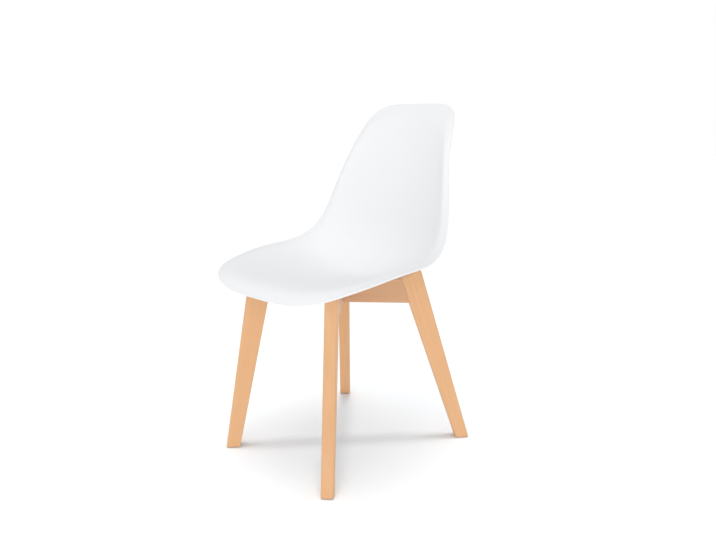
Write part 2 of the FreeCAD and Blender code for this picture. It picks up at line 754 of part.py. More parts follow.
def main():
    """Builds every piece, checks it and writes its file."""
    skin = shell_skin()
    lowest = min(wall_span(skin, boss_point(corner))[0] for corner in CORNERS)
    write_size("rail_top", lowest - sizes["boss_length"] - sizes["pad_thickness"],
               "worked out: the rails' top, under the bosses and pads")
    doc.recompute()
    pieces = [make_shell(skin)]
    pieces.append(make_rail("rail_lower", "front_right", 1))
    pieces.append(make_rail("rail_upper", "front_left", -1))
    for corner in CORNERS:
        pieces.append(make_leg(corner))
        pieces.append(make_glide(corner))
        for name in LEVELS:
            pieces.append(make_dowel(corner, name))
        pieces.extend(fasten_seat(corner))
    pieces.extend(fasten_crossing())
    doc.recompute()
    check(pieces)
    os.makedirs("parts", exist_ok=True)
    for piece in pieces:
        piece.Shape.exportStep("parts/" + piece.Label + ".step")
        box = piece.Shape.BoundBox
        print("%-28s %9.1f mm3  x %7.1f %7.1f  y %7.1f %7.1f  z %6.1f %6.1f" % (
            piece.Label, piece.Shape.Volume, box.XMin, box.XMax, box.YMin, box.YMax, box.ZMin, box.ZMax))


main()
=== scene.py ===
"""The finished look of a moulded shell chair on its crossed beech frame.

Lengths are in metres. +Z is up, the sitter faces -Y and +X is the sitter's left.
"""

import logging
import math
from collections.abc import Callable
from dataclasses import dataclass
from enum import Enum

import bmesh
import bpy
import numpy as np
from mathutils import Matrix, Vector


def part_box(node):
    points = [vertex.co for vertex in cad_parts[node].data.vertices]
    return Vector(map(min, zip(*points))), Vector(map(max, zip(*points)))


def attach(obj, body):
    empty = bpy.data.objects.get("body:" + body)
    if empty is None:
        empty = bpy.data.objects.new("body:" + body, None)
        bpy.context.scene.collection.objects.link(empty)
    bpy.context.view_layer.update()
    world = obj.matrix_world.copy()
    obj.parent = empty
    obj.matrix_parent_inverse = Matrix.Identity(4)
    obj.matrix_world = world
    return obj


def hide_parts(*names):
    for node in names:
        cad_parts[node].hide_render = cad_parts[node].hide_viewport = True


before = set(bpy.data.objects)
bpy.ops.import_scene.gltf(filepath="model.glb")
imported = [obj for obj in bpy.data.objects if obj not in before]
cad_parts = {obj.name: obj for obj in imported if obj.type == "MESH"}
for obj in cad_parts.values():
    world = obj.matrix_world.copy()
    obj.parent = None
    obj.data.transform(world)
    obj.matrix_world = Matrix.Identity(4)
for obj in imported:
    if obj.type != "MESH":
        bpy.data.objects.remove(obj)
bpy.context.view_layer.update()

LOG = logging.getLogger("shell_chair")
BODY = "root"
Triple = tuple[float, float, float]

CROSSING = (0.0, -0.020, 0.0)  # where the two rails cross, seen from above
RAIL_ANGLE = math.radians(50)  # between a rail and +X
CUBIC = 3
JUST_BELOW_ONE = 1 - 1e-12
MERGE_DISTANCE = 1e-6
SOFT_END_ANGLE = math.radians(50)
SOFT_END_STEPS = 2
SHARP_EDGE_ANGLE = math.radians(40)
LAMP_DISTANCE = 3.0


class Corner(Enum):
    """A corner of the chair: its end and its side, 1 for the sitter's left."""

    FRONT_LEFT = ("front", 1)
    FRONT_RIGHT = ("front", -1)
    REAR_LEFT = ("rear", 1)
    REAR_RIGHT = ("rear", -1)

    @property
    def end(self) -> str:
        """Front or rear."""
        return self.value[0]

    @property
    def label(self) -> str:
        """The corner's name in the names of its pieces."""
        return self.name.lower()


# Node trees


class Term:
    """A node's output that can stand in a formula."""

    def __init__(self, graph: "Graph", socket: bpy.types.NodeSocket) -> None:
        """Keeps the output and the graph that its formulas grow in."""
        self.graph, self.socket = graph, socket

    def __add__(self, other: object) -> "Term":
        """The sum."""
        return self.graph.math("ADD", self, other)

    def __radd__(self, other: object) -> "Term":
        """The sum of a number and this."""
        return self.graph.math("ADD", other, self)

    def __sub__(self, other: object) -> "Term":
        """The difference."""
        return self.graph.math("SUBTRACT", self, other)

    def __rsub__(self, other: object) -> "Term":
        """A number less this."""
        return self.graph.math("SUBTRACT", other, self)

    def __mul__(self, other: object) -> "Term":
        """The product."""
        return self.graph.math("MULTIPLY", self, other)

    def __truediv__(self, other: object) -> "Term":
        """The quotient."""
        return self.graph.math("DIVIDE", self, other)

    def __rtruediv__(self, other: object) -> "Term":
        """A number divided by this."""
        return self.graph.math("DIVIDE", other, self)

    def __gt__(self, other: object) -> "Term":
        """1 where this is greater, else 0."""
        return self.graph.math("GREATER_THAN", self, other)

    def __lt__(self, other: object) -> "Term":
        """1 where this is less, else 0."""
        return self.graph.math("LESS_THAN", self, other)


class Graph:
    """Adds nodes to a tree and joins them, so that a formula reads in one line."""

    def __init__(self, tree: bpy.types.NodeTree) -> None:
        """Works on a node tree."""
        self.tree = tree

    def feed(self, socket: bpy.types.NodeSocket, value: object) -> None:
        """Joins terms to an input, or writes a plain value there.

        Args:
            socket: the input.
            value: a term, a list of terms for an input that takes several, or a plain value.
        """
        if isinstance(value, list):
            for part in value:
                self.feed(socket, part)
        elif isinstance(value, Term):
            self.tree.links.new(value.socket, socket)
        else:
            socket.default_value = value

    def node(self, kind: str, values: dict | None = None, **settings: object) -> bpy.types.Node:
        """Adds a node.

        Args:
            kind: the node's type.
            values: input values or terms by the input's name or number.
            settings: the node's own properties.

        Returns:
            The new node.
        """
        node = self.tree.nodes.new(kind)
        for name, setting in settings.items():
            setattr(node, name, setting)
        for key, value in (values or {}).items():
            self.feed(node.inputs[key], value)
        return node

    def add(self, kind: str, values: dict | None = None, output: int | str = 0, **settings: object) -> Term:
        """Adds a node and gives one of its outputs."""
        return Term(self, self.node(kind, values, **settings).outputs[output])

    def outputs(self, node: bpy.types.Node) -> dict[str, Term]:
        """A node's outputs by name."""
        return {socket.name: Term(self, socket) for socket in node.outputs}

    def math(self, operation: str, *values: object) -> Term:
        """The result of a Math node for its inputs in order."""
        return self.add("ShaderNodeMath", dict(enumerate(values)), operation=operation)

    def blend(self, share: object, first: object, second: object) -> Term:
        """The number at a share of the way from the first to the second."""
        return self.add("ShaderNodeMix", {0: share, 2: first, 3: second}, data_type="FLOAT")

    def tint(self, share: object, first: object, second: object) -> Term:
        """The colour at a share of the way from the first to the second."""
        return self.add("ShaderNodeMix", {0: share, 6: first, 7: second}, 2, data_type="RGBA")

    def stretch(self, vector: object, scale: Triple) -> Term:
        """A vector with its own factor along each axis."""
        return self.add("ShaderNodeVectorMath", {0: vector, 1: scale}, operation="MULTIPLY")

    def noise(self, vector: object, scale: object, detail: float = 2.0, rough: float = 0.5) -> Term:
        """The value of a noise texture."""
        values = {"Vector": vector, "Scale": scale, "Detail": detail, "Roughness": rough}
        return self.add("ShaderNodeTexNoise", values)

    def ramp(self, value: object, low: object, high: object) -> Term:
        """A smooth rise from 0 to 1 while a value goes from low to high."""
        values = {"Value": value, "From Min": low, "From Max": high}
        return self.add("ShaderNodeMapRange", values, interpolation_type="SMOOTHSTEP")

    def split(self, vector: object) -> tuple[Term, ...]:
        """The X, Y and Z of a vector."""
        return tuple(self.outputs(self.node("ShaderNodeSeparateXYZ", {0: vector})).values())

    def join(self, x: object = 0.0, y: object = 0.0, z: object = 0.0) -> Term:
        """A vector from its X, Y and Z."""
        return self.add("ShaderNodeCombineXYZ", {"X": x, "Y": y, "Z": z})

    def point(self) -> Term:
        """Where each point of a geometry is."""
        return self.add("GeometryNodeInputPosition")

    def moved(self, geometry: Term, place: Term) -> Term:
        """A geometry with its points moved to their new places."""
        return self.add("GeometryNodeSetPosition", {"Geometry": geometry, "Position": place})

    def copies(self, spots: Term, shape: Term) -> Term:
        """A shape's copies on points, as plain geometry."""
        placed = self.add("GeometryNodeInstanceOnPoints", {"Points": spots, "Instance": shape})
        return self.add("GeometryNodeRealizeInstances", {"Geometry": placed})

    def merged(self, geometry: Term) -> Term:
        """A geometry whose coinciding points are one."""
        return self.add("GeometryNodeMergeByDistance", {"Geometry": geometry, "Distance": MERGE_DISTANCE})

    def seen_ray(self) -> Term:
        """Tells the rays that show a surface, directly, mirrored or through glass.

        Returns:
            1 for these rays, else 0.
        """
        ray = self.outputs(self.node("ShaderNodeLightPath"))
        direct = self.math("MAXIMUM", ray["Is Camera Ray"], ray["Is Glossy Ray"])
        return self.math("MAXIMUM", direct, ray["Is Transmission Ray"])


def rgba(colour: Triple) -> tuple[float, float, float, float]:
    """A colour with full opacity."""
    return (*colour, 1.0)


def socket_kind(value: object) -> str:
    """The kind of socket that an input needs.

    Args:
        value: its default value, or the kind itself as a word.

    Returns:
        The kind, which follows NodeSocket in the type's name.
    """
    if isinstance(value, str):
        return value
    if isinstance(value, tuple):
        return "Vector" if len(value) == 3 else "Color"
    return "Int" if isinstance(value, int) else "Float"


def new_group(name: str, tree_kind: str, inputs: dict, outputs: dict) -> tuple:
    """Makes a node group with named inputs and outputs.

    Args:
        name: the group's name.
        tree_kind: the tree's type.
        inputs: default value of each input by name, or its kind where it has none.
        outputs: kind of each output by name.

    Returns:
        The tree's graph, its inputs by name and its output node.
    """
    tree = bpy.data.node_groups.new(name, tree_kind)
    for label, value in inputs.items():
        made = tree.interface.new_socket(label, in_out="INPUT", socket_type="NodeSocket" + socket_kind(value))
        if not isinstance(value, str):
            made.default_value = value
    for label, kind in outputs.items():
        tree.interface.new_socket(label, in_out="OUTPUT", socket_type="NodeSocket" + kind)
    graph = Graph(tree)
    return graph, graph.outputs(graph.node("NodeGroupInput")), graph.node("NodeGroupOutput")


def geometry_group(name: str, inputs: dict) -> tuple:
    """A geometry node group with named sizes, between a base mesh and a dressed mesh."""
    inputs = {"Geometry": "Geometry", **inputs, "Material": "Material"}
    return new_group(name, "GeometryNodeTree", inputs, {"Geometry": "Geometry"})


def dressed_tree(graph: Graph, size: dict[str, Term], result: bpy.types.Node, shape: Term,
                 ) -> bpy.types.NodeTree:
    """Ends a geometry group with plain geometry that has its material.

    Args:
        graph: the group's graph.
        size: its inputs by name.
        result: its output node.
        shape: the finished shape.

    Returns:
        The group.
    """
    plain = graph.add("GeometryNodeRealizeInstances", {"Geometry": shape})
    dressed = graph.add("GeometryNodeSetMaterial", {"Geometry": plain, "Material": size["Material"]})
    graph.feed(result.inputs[0], dressed)
    return graph.tree


def shared_group(maker: Callable[[], bpy.types.NodeTree]) -> bpy.types.NodeTree:
    """The node group that carries its maker's name, made on its first use."""
    return bpy.data.node_groups.get(maker.__name__) or maker()


# Shared effects of the finishes


def timber_grain() -> bpy.types.NodeTree:
    """Grain of a close-grained wood that runs along X, with rings about a far pith.

    Returns:
        The shader node group.
    """
    graph, size, result = new_group(
        "timber_grain", "ShaderNodeTree",
        {"Vector": "Vector", "Light": (0.8, 0.6, 0.4, 1.0), "Dark": (0.6, 0.4, 0.25, 1.0),
         "Pith": (0.0, 0.07, 0.05), "Ring spacing": 0.003, "Contrast": 0.5, "Flecks": 0.5},
        {"Color": "Color", "Roughness": "Float", "Height": "Float"})
    ring_drift, ring_part, fibre_part, slow_part, fleck_part = 0.012, 0.45, 0.40, 0.30, 0.35
    least_rough, rough_range, fleck_depth = 0.40, 0.12, 0.6
    place = size["Vector"]
    drift = graph.noise(graph.stretch(place, (2.5, 9, 9)), 1.0, 2)
    slow = graph.noise(graph.stretch(place, (1.2, 14, 14)), 1.0, 1)
    fibre = graph.noise(graph.stretch(place, (7, 330, 330)), 1.0, 3, 0.6)
    fine = graph.noise(graph.stretch(place, (45, 1900, 1900)), 1.0, 2)
    fleck = graph.noise(graph.stretch(place, (240, 1500, 1500)), 1.0, 0)
    offset = graph.add("ShaderNodeVectorMath", {0: place, 1: size["Pith"]}, operation="SUBTRACT")
    across = graph.stretch(offset, (0.0, 1.0, 1.0))
    radius = graph.add("ShaderNodeVectorMath", {0: across}, "Value", operation="LENGTH")
    turns = (radius + drift * ring_drift) / size["Ring spacing"]
    rings = graph.add("ShaderNodeTexNoise", {"W": turns, "Scale": 1.0, "Detail": 1.0}, noise_dimensions="1D")
    fleck_mask = graph.ramp(fleck, 0.66, 0.78) * size["Flecks"]
    share = (graph.ramp(rings, 0.3, 0.75) * ring_part + graph.ramp(fibre, 0.32, 0.72) * fibre_part
             + graph.ramp(slow, 0.3, 0.7) * slow_part)
    share = share * size["Contrast"] + fleck_mask * fleck_part
    graph.feed(result.inputs["Color"], graph.tint(share, size["Light"], size["Dark"]))
    graph.feed(result.inputs["Roughness"], least_rough + fibre * rough_range)
    graph.feed(result.inputs["Height"], fine * 0.5 + fibre * 0.5 - fleck_mask * fleck_depth)
    return graph.tree


def surface_grain() -> bpy.types.NodeTree:
    """Fine even texture of a mould or a tool, with slow changes of tone and gloss.

    Returns:
        The shader node group.
    """
    graph, size, result = new_group(
        "surface_grain", "ShaderNodeTree",
        {"Vector": "Vector", "Grain size": 0.0006, "Cloud size": 0.12, "Low roughness": 0.35,
         "High roughness": 0.45},
        {"Tone": "Float", "Roughness": "Float", "Height": "Float"})
    tone_part, fine_part = 0.6, 0.4
    fine = graph.noise(size["Vector"], 1.0 / size["Grain size"], 2, 0.55)
    cloud = graph.noise(size["Vector"], 1.0 / size["Cloud size"], 3, 0.5)
    tone = graph.ramp(cloud, 0.3, 0.7)
    rough = graph.blend(tone * tone_part + fine * fine_part, size["Low roughness"], size["High roughness"])
    graph.feed(result.inputs["Tone"], tone)
    graph.feed(result.inputs["Roughness"], rough)
    graph.feed(result.inputs["Height"], fine)
    return graph.tree


def new_material(name: str) -> tuple[bpy.types.Material, Graph, bpy.types.Node]:
    """A material with a Principled shader.

    Args:
        name: the material's name.

    Returns:
        The material, its graph and its shader.
    """
    material = bpy.data.materials.new(name)
    material.use_nodes = True
    shader = material.node_tree.nodes["Principled BSDF"]
    return material, Graph(material.node_tree), shader


@dataclass(frozen=True)
class BoardFinish:
    """Lacquered beech whose grain runs along one board."""

    name: str
    along: Triple
    light: Triple = (0.850, 0.488, 0.250)
    dark: Triple = (0.700, 0.368, 0.168)
    shift: Triple = (0.0, 0.0, 0.0)
    pith: Triple = (0.0, 0.09, 0.05)
    ring_spacing: float = 0.0034
    contrast: float = 0.42
    flecks: float = 0.6
    bump: float = 0.12
    bump_distance: float = 0.00012
    specular: float = 0.4

    def material(self) -> bpy.types.Material:
        """Builds the material.

        Returns:
            The board's material.
        """
        material, graph, shader = new_material(self.name)
        turn = Vector(self.along).rotation_difference(Vector((1, 0, 0))).to_euler()
        place = graph.add("ShaderNodeTexCoord", output="Object")
        place = graph.add("ShaderNodeMapping", {"Vector": place, "Location": self.shift, "Rotation": turn})
        values = {"Vector": place, "Light": rgba(self.light), "Dark": rgba(self.dark), "Pith": self.pith,
                  "Ring spacing": self.ring_spacing, "Contrast": self.contrast, "Flecks": self.flecks}
        grain = graph.outputs(graph.node("ShaderNodeGroup", values, node_tree=shared_group(timber_grain)))
        coat(self, graph, shader, grain, grain["Color"])
        return material


@dataclass(frozen=True)
class PlainFinish:
    """One colour with a fine grain: moulded plastic, rubber or turned metal."""

    name: str
    colour: Triple
    shade: Triple
    metallic: float = 0.0
    roughness: tuple[float, float] = (0.35, 0.45)
    grain_size: float = 0.0006
    cloud_size: float = 0.12
    tone_share: float = 0.5
    bump: float = 0.1
    bump_distance: float = 0.00008
    ior: float = 1.49
    specular: float = 0.5

    def material(self) -> bpy.types.Material:
        """Builds the material.

        Returns:
            The material.
        """
        material, graph, shader = new_material(self.name)
        place = graph.add("ShaderNodeTexCoord", output="Object")
        values = {"Vector": place, "Grain size": self.grain_size, "Cloud size": self.cloud_size,
                  "Low roughness": self.roughness[0], "High roughness": self.roughness[1]}
        grain = graph.outputs(graph.node("ShaderNodeGroup", values, node_tree=shared_group(surface_grain)))
        colour = graph.tint(grain["Tone"] * self.tone_share, rgba(self.colour), rgba(self.shade))
        coat(self, graph, shader, grain, colour)
        shader.inputs["Metallic"].default_value = self.metallic
        shader.inputs["IOR"].default_value = self.ior
        return material


def coat(finish: BoardFinish | PlainFinish, graph: Graph, shader: bpy.types.Node, grain: dict[str, Term],
         colour: Term) -> None:
    """Feeds a finish's colour, gloss and relief to its shader.

    Args:
        finish: the finish, which holds the relief and the shine.
        graph: the material's graph.
        shader: its shader.
        grain: outputs of the finish's grain by name.
        colour: the colour.
    """
    bump = graph.add("ShaderNodeBump", {"Height": grain["Height"], "Strength": finish.bump,
                                        "Distance": finish.bump_distance})
    graph.feed(shader.inputs["Base Color"], colour)
    graph.feed(shader.inputs["Roughness"], grain["Roughness"])
    graph.feed(shader.inputs["Normal"], bump)
    shader.inputs["Specular IOR Level"].default_value = finish.specular


SHELL_PLASTIC = PlainFinish("white_polypropylene", (0.925, 0.930, 0.940), (0.912, 0.918, 0.930),
                            roughness=(0.55, 0.63), specular=0.3, grain_size=0.0009, cloud_size=0.16)
ZINC = PlainFinish("zinc_plate", (0.70, 0.71, 0.73), (0.60, 0.61, 0.63), metallic=1.0,
                   roughness=(0.24, 0.42), grain_size=0.0004, cloud_size=0.006, bump=0.2)
BRASS = PlainFinish("turned_brass", (0.78, 0.60, 0.30), (0.66, 0.48, 0.22), metallic=1.0,
                    roughness=(0.22, 0.36), grain_size=0.0003, cloud_size=0.005)
RUBBER = PlainFinish("black_rubber", (0.030, 0.030, 0.032), (0.045, 0.045, 0.047),
                     roughness=(0.65, 0.82), grain_size=0.0004, cloud_size=0.004, bump=0.3)
NYLON = PlainFinish("natural_nylon", (0.74, 0.73, 0.68), (0.66, 0.65, 0.60),
                    roughness=(0.42, 0.56), grain_size=0.0004, cloud_size=0.006, bump=0.2)


# The moulded shell


def knot_row(count: int) -> np.ndarray:
    """Clamped even knots, from 0 to 1, of a cubic curve with so many control points."""
    return np.concatenate([np.zeros(CUBIC), np.linspace(0, 1, count - CUBIC + 1), np.ones(CUBIC)])


def spline_weights(knots: np.ndarray, degree: int, places: np.ndarray) -> np.ndarray:
    """Weights of the control points of a B-spline.

    Args:
        knots: its knots.
        degree: its degree.
        places: where it is evaluated.

    Returns:
        One row of weights for each place.
    """
    inside = np.clip(np.asarray(places, float), 0, JUST_BELOW_ONE)[..., None]
    table = ((knots[:-1] <= inside) & (inside < knots[1:])).astype(float)
    for order in range(1, degree + 1):
        left = knots[order:-1] - knots[:-order - 1]
        right = knots[order + 1:] - knots[1:-order]
        rising = (inside - knots[:-order - 1]) * np.where(left > 0, 1 / np.where(left > 0, left, 1), 0)
        falling = (knots[order + 1:] - inside) * np.where(right > 0, 1 / np.where(right > 0, right, 1), 0)
        table = rising * table[..., :-1] + falling * table[..., 1:]
    return table


@dataclass
class SeatShell:
    """Seat and back in one moulding, from the guide stations to the finished mesh.

    A station holds a control point of the centre line (y, z), the half width there and
    the dish, which is how far the rim stands above the centre line.
    """

    stations: tuple[tuple[float, float, float, float], ...] = (
        (-0.266, 0.4065, 0.192, -0.010),
        (-0.245, 0.440, 0.207, -0.005),
        (-0.146, 0.433, 0.219, 0.020),
        (-0.043, 0.430, 0.231, 0.040),
        (0.064, 0.409, 0.224, 0.061),
        (0.1633, 0.481, 0.2074, 0.045),
        (0.1848, 0.628, 0.179, 0.033),
        (0.223, 0.747, 0.139, 0.023),
        (0.263, 0.820, 0.154, 0.009),
    )
    front_round: float = 0.26
    front_square: float = 3.5
    crown_round: float = 0.195
    crown_square: float = 4.6
    section_power: float = 1.87
    wall: float = 0.0045
    edge_bulge: float = 0.0016
    lip_width: float = 0.040
    lip_turn: float = 0.6
    lip_roll: float = 0.012
    hub_along: float = 0.40
    rim_steps: int = 400
    ray_steps: int = 30
    net_angles: int = 120
    net_rings: int = 18
    lip_distances: tuple[float, ...] = (0.042, 0.033, 0.026, 0.020, 0.0145, 0.0095, 0.005, 0.002, 0.0)
    flat_rings: int = 2
    angle_steps: int = 3
    ring_steps: int = 4
    edge_steps: int = 8
    hub_steps: int = 4
    boss_radius: float = 0.011
    boss_root: float = 0.0145
    boss_root_start: float = 0.55
    boss_sides: int = 48
    boss_reach: tuple[float, float] = (0.115, 0.098)
    hole_radius: float = 0.0041
    hole_depth: float = 0.0125

    def spline(self, along: np.ndarray, first: int) -> np.ndarray:
        """Two neighbouring station values from the first one's number, smoothed along the guide."""
        poles = np.array(self.stations)[:, first:first + 2]
        return spline_weights(knot_row(len(poles)), CUBIC, along) @ poles

    def normal(self, along: np.ndarray) -> np.ndarray:
        """Direction out of the centre line towards the sitter.

        Args:
            along: places from the lip, 0, to the crown, 1.

        Returns:
            Its y and z at each place.
        """
        poles = np.array(self.stations)[:, :2]
        knots = knot_row(len(poles))
        spans = knots[CUBIC + 1:-1] - knots[1:-CUBIC - 1]
        steps = (poles[1:] - poles[:-1]) / spans[:, None]
        tangent = spline_weights(knots[1:-1], CUBIC - 1, along) @ steps
        tangent /= np.linalg.norm(tangent, axis=-1, keepdims=True)
        return np.stack([-tangent[..., 1], tangent[..., 0]], -1)

    def skin(self, along: np.ndarray, across: np.ndarray, lift: np.ndarray | float = 0.0) -> np.ndarray:
        """Points of the face.

        Args:
            along: places from the lip, 0, to the crown, 1.
            across: places from -1 to 1 over the width.
            lift: how far they stand above the dished face.

        Returns:
            The points.
        """
        centre, spread, normal = self.spline(along, 0), self.spline(along, 2), self.normal(along)
        rise = spread[..., 1] * np.abs(across) ** self.section_power + lift
        return np.stack([spread[..., 0] * across, centre[..., 0] + normal[..., 0] * rise,
                         centre[..., 1] + normal[..., 1] * rise], -1)

    def rim(self) -> tuple[np.ndarray, np.ndarray]:
        """Evenly spaced places round the rim, from the middle of the lip.

        Returns:
            Their places along and across.
        """
        steps = self.rim_steps
        turn = np.arange(steps + 1) / steps * np.pi / 2
        front, crown = (np.maximum(np.cos(turn), 0) ** (2 / power)
                        for power in (self.front_square, self.crown_square))
        straight = 1 - self.front_round - self.crown_round
        middle = self.front_round + straight * np.arange(1, steps) / steps
        along = np.concatenate([self.front_round * (1 - front), middle,
                                (1 - self.crown_round * (1 - crown))[::-1]])
        across = np.concatenate([np.sin(turn) ** (2 / self.front_square), np.ones(steps - 1),
                                 (np.sin(turn) ** (2 / self.crown_square))[::-1]])
        gaps = np.linalg.norm(np.diff(self.skin(along, across), axis=0), axis=1)
        travelled = np.concatenate([[0], np.cumsum(gaps)])
        target = np.linspace(0, travelled[-1], self.net_angles // 2 + 1)
        along, across = np.interp(target, travelled, along), np.interp(target, travelled, across)
        return (np.concatenate([along, along[-2:0:-1]]), np.concatenate([across, -across[-2:0:-1]]))

    def face_net(self) -> np.ndarray:
        """Control net of the face, from a small ring round the hub to the rim.

        Returns:
            Rings of control points.
        """
        along, across = self.rim()
        steps = np.linspace(0, 1, self.ray_steps + 1)[:, None]
        rays = self.skin(self.hub_along + (along - self.hub_along) * steps, across * steps)
        length = np.linalg.norm(np.diff(rays, axis=0), axis=2).sum(0)
        hub = self.skin(np.array(self.hub_along), np.array(0.0))
        upright = np.concatenate([[0], self.normal(np.array(self.hub_along))])
        shares = (np.arange(self.net_rings) + 1) / (self.net_rings + 1)
        distances = [length - (length - self.lip_distances[0]) * share for share in shares]
        distances += [np.full_like(length, distance) for distance in self.lip_distances]
        net = []
        for ring, distance in enumerate(distances):
            reach = 1 - distance / length
            row = self.skin(self.hub_along + (along - self.hub_along) * reach, across * reach,
                            self.lip_lift(reach, distance))
            if ring < self.flat_rings:
                row = row - ((row - hub) @ upright)[:, None] * upright
            net.append(row)
        return np.array(net)

    def lip_lift(self, reach: np.ndarray, distance: np.ndarray) -> np.ndarray:
        """Lift towards the sitter that turns the rim over into a flat lip.

        Args:
            reach: places between the hub, 0, and the rim, 1.
            distance: how far they are from the rim.

        Returns:
            The lift.
        """
        share = np.maximum(1 - distance / self.lip_width, 0)
        turned = np.minimum(share, self.lip_turn)
        roll = turned * (share - turned / 2) / (self.lip_turn * (1 - self.lip_turn / 2))
        return self.lip_roll * (reach ** 4 - roll)

    def nets(self) -> tuple[np.ndarray, np.ndarray, np.ndarray]:
        """Control nets of the face, the rounded edge and the underside.

        Returns:
            The three nets, each from its inner to its outer ring.
        """
        face = self.face_net()
        inner, outer = face[[0, *range(len(face) - 1)]], face[[*range(1, len(face)), -1]]
        normals = np.cross(outer - inner, np.roll(face, -1, 1) - np.roll(face, 1, 1))
        normals /= np.linalg.norm(normals, axis=2, keepdims=True)
        normals[:self.flat_rings] = np.concatenate([[0], self.normal(np.array(self.hub_along))])
        under = face - normals * self.wall
        outwards = face[-1] - face[-2]
        outwards *= self.edge_bulge / np.linalg.norm(outwards, axis=1, keepdims=True)
        edge = np.array([face[-1], face[-1] + outwards, under[-1] + outwards, under[-1]])
        return face, edge, under

    def smooth_rings(self, net: np.ndarray, steps: int) -> np.ndarray:
        """Evaluates a net's smooth surface.

        Args:
            net: rings of control points.
            steps: how many rings each span gets.

        Returns:
            Rings of points on the surface, both borders included.
        """
        spans = len(net) - CUBIC
        places = np.linspace(0, 1, spans * steps + 1)
        rings = np.einsum("ij,jkl->ikl", spline_weights(knot_row(len(net)), CUBIC, places), net)
        return self.smooth_angles(rings)

    def smooth_angles(self, rings: np.ndarray) -> np.ndarray:
        """Smooths rings of control points round the rim.

        Args:
            rings: rings of control points.

        Returns:
            Rings with angle_steps points for each control point.
        """
        share = (np.arange(self.angle_steps) / self.angle_steps)[:, None]
        before, after, later = (np.roll(rings, -step, 1)[:, :, None, :] for step in (-1, 1, 2))
        weights = ((1 - share) ** 3, 3 * share ** 3 - 6 * share ** 2 + 4,
                   -3 * share ** 3 + 3 * share ** 2 + 3 * share + 1, share ** 3)
        parts = (before, rings[:, :, None, :], after, later)
        dense = sum(weight * part for weight, part in zip(weights, parts)) / 6
        return dense.reshape(len(rings), -1, 3)

    def hub_rings(self, ring: np.ndarray) -> list[np.ndarray]:
        """Rings of the flat patch inside the first ring, from the smallest to the last."""
        centre = ring.mean(0)
        return [centre + (ring - centre) * step / self.hub_steps for step in range(1, self.hub_steps)]

    def skin_mesh(self) -> bpy.types.Mesh:
        """Builds the moulding without its bosses as one closed mesh.

        Returns:
            The mesh.
        """
        face_net, edge_net, under_net = self.nets()
        face = self.smooth_rings(face_net, self.ring_steps)
        edge = self.smooth_rings(edge_net, self.edge_steps)
        under = self.smooth_rings(under_net, self.ring_steps)
        rings = [*self.hub_rings(face[0]), *face, *edge[1:-1], *under[::-1],
                 *self.hub_rings(under[0])[::-1]]
        count = len(rings[0])
        points = [*np.concatenate(rings), rings[0].mean(0), rings[-1].mean(0)]
        following = [(number + 1) % count for number in range(count)]
        faces = [(ring * count + number, (ring + 1) * count + number,
                  (ring + 1) * count + after, ring * count + after)
                 for ring in range(len(rings) - 1) for number, after in enumerate(following)]
        last = (len(rings) - 1) * count
        faces += [(len(points) - 2, number, after) for number, after in enumerate(following)]
        faces += [(len(points) - 1, last + after, last + number) for number, after in enumerate(following)]
        return new_mesh("moulded_skin", points, faces)

    def build(self) -> bpy.types.Object:
        """Builds the moulding with its four screw bosses.

        Returns:
            The piece.
        """
        values = {
            "Crossing": CROSSING, "Rail angle": RAIL_ANGLE,
            "Front reach": self.boss_reach[0], "Rear reach": self.boss_reach[1],
            "Foot height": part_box("pad_front_left")[1].z, "Wall": self.wall, "Sides": self.boss_sides,
            "Radius": self.boss_radius, "Root radius": self.boss_root, "Root start": self.boss_root_start,
            "Hole radius": self.hole_radius, "Hole depth": self.hole_depth,
            "Material": SHELL_PLASTIC.material(),
        }
        return grow("moulded_shell", shared_group(screw_bosses), values, base=self.skin_mesh())


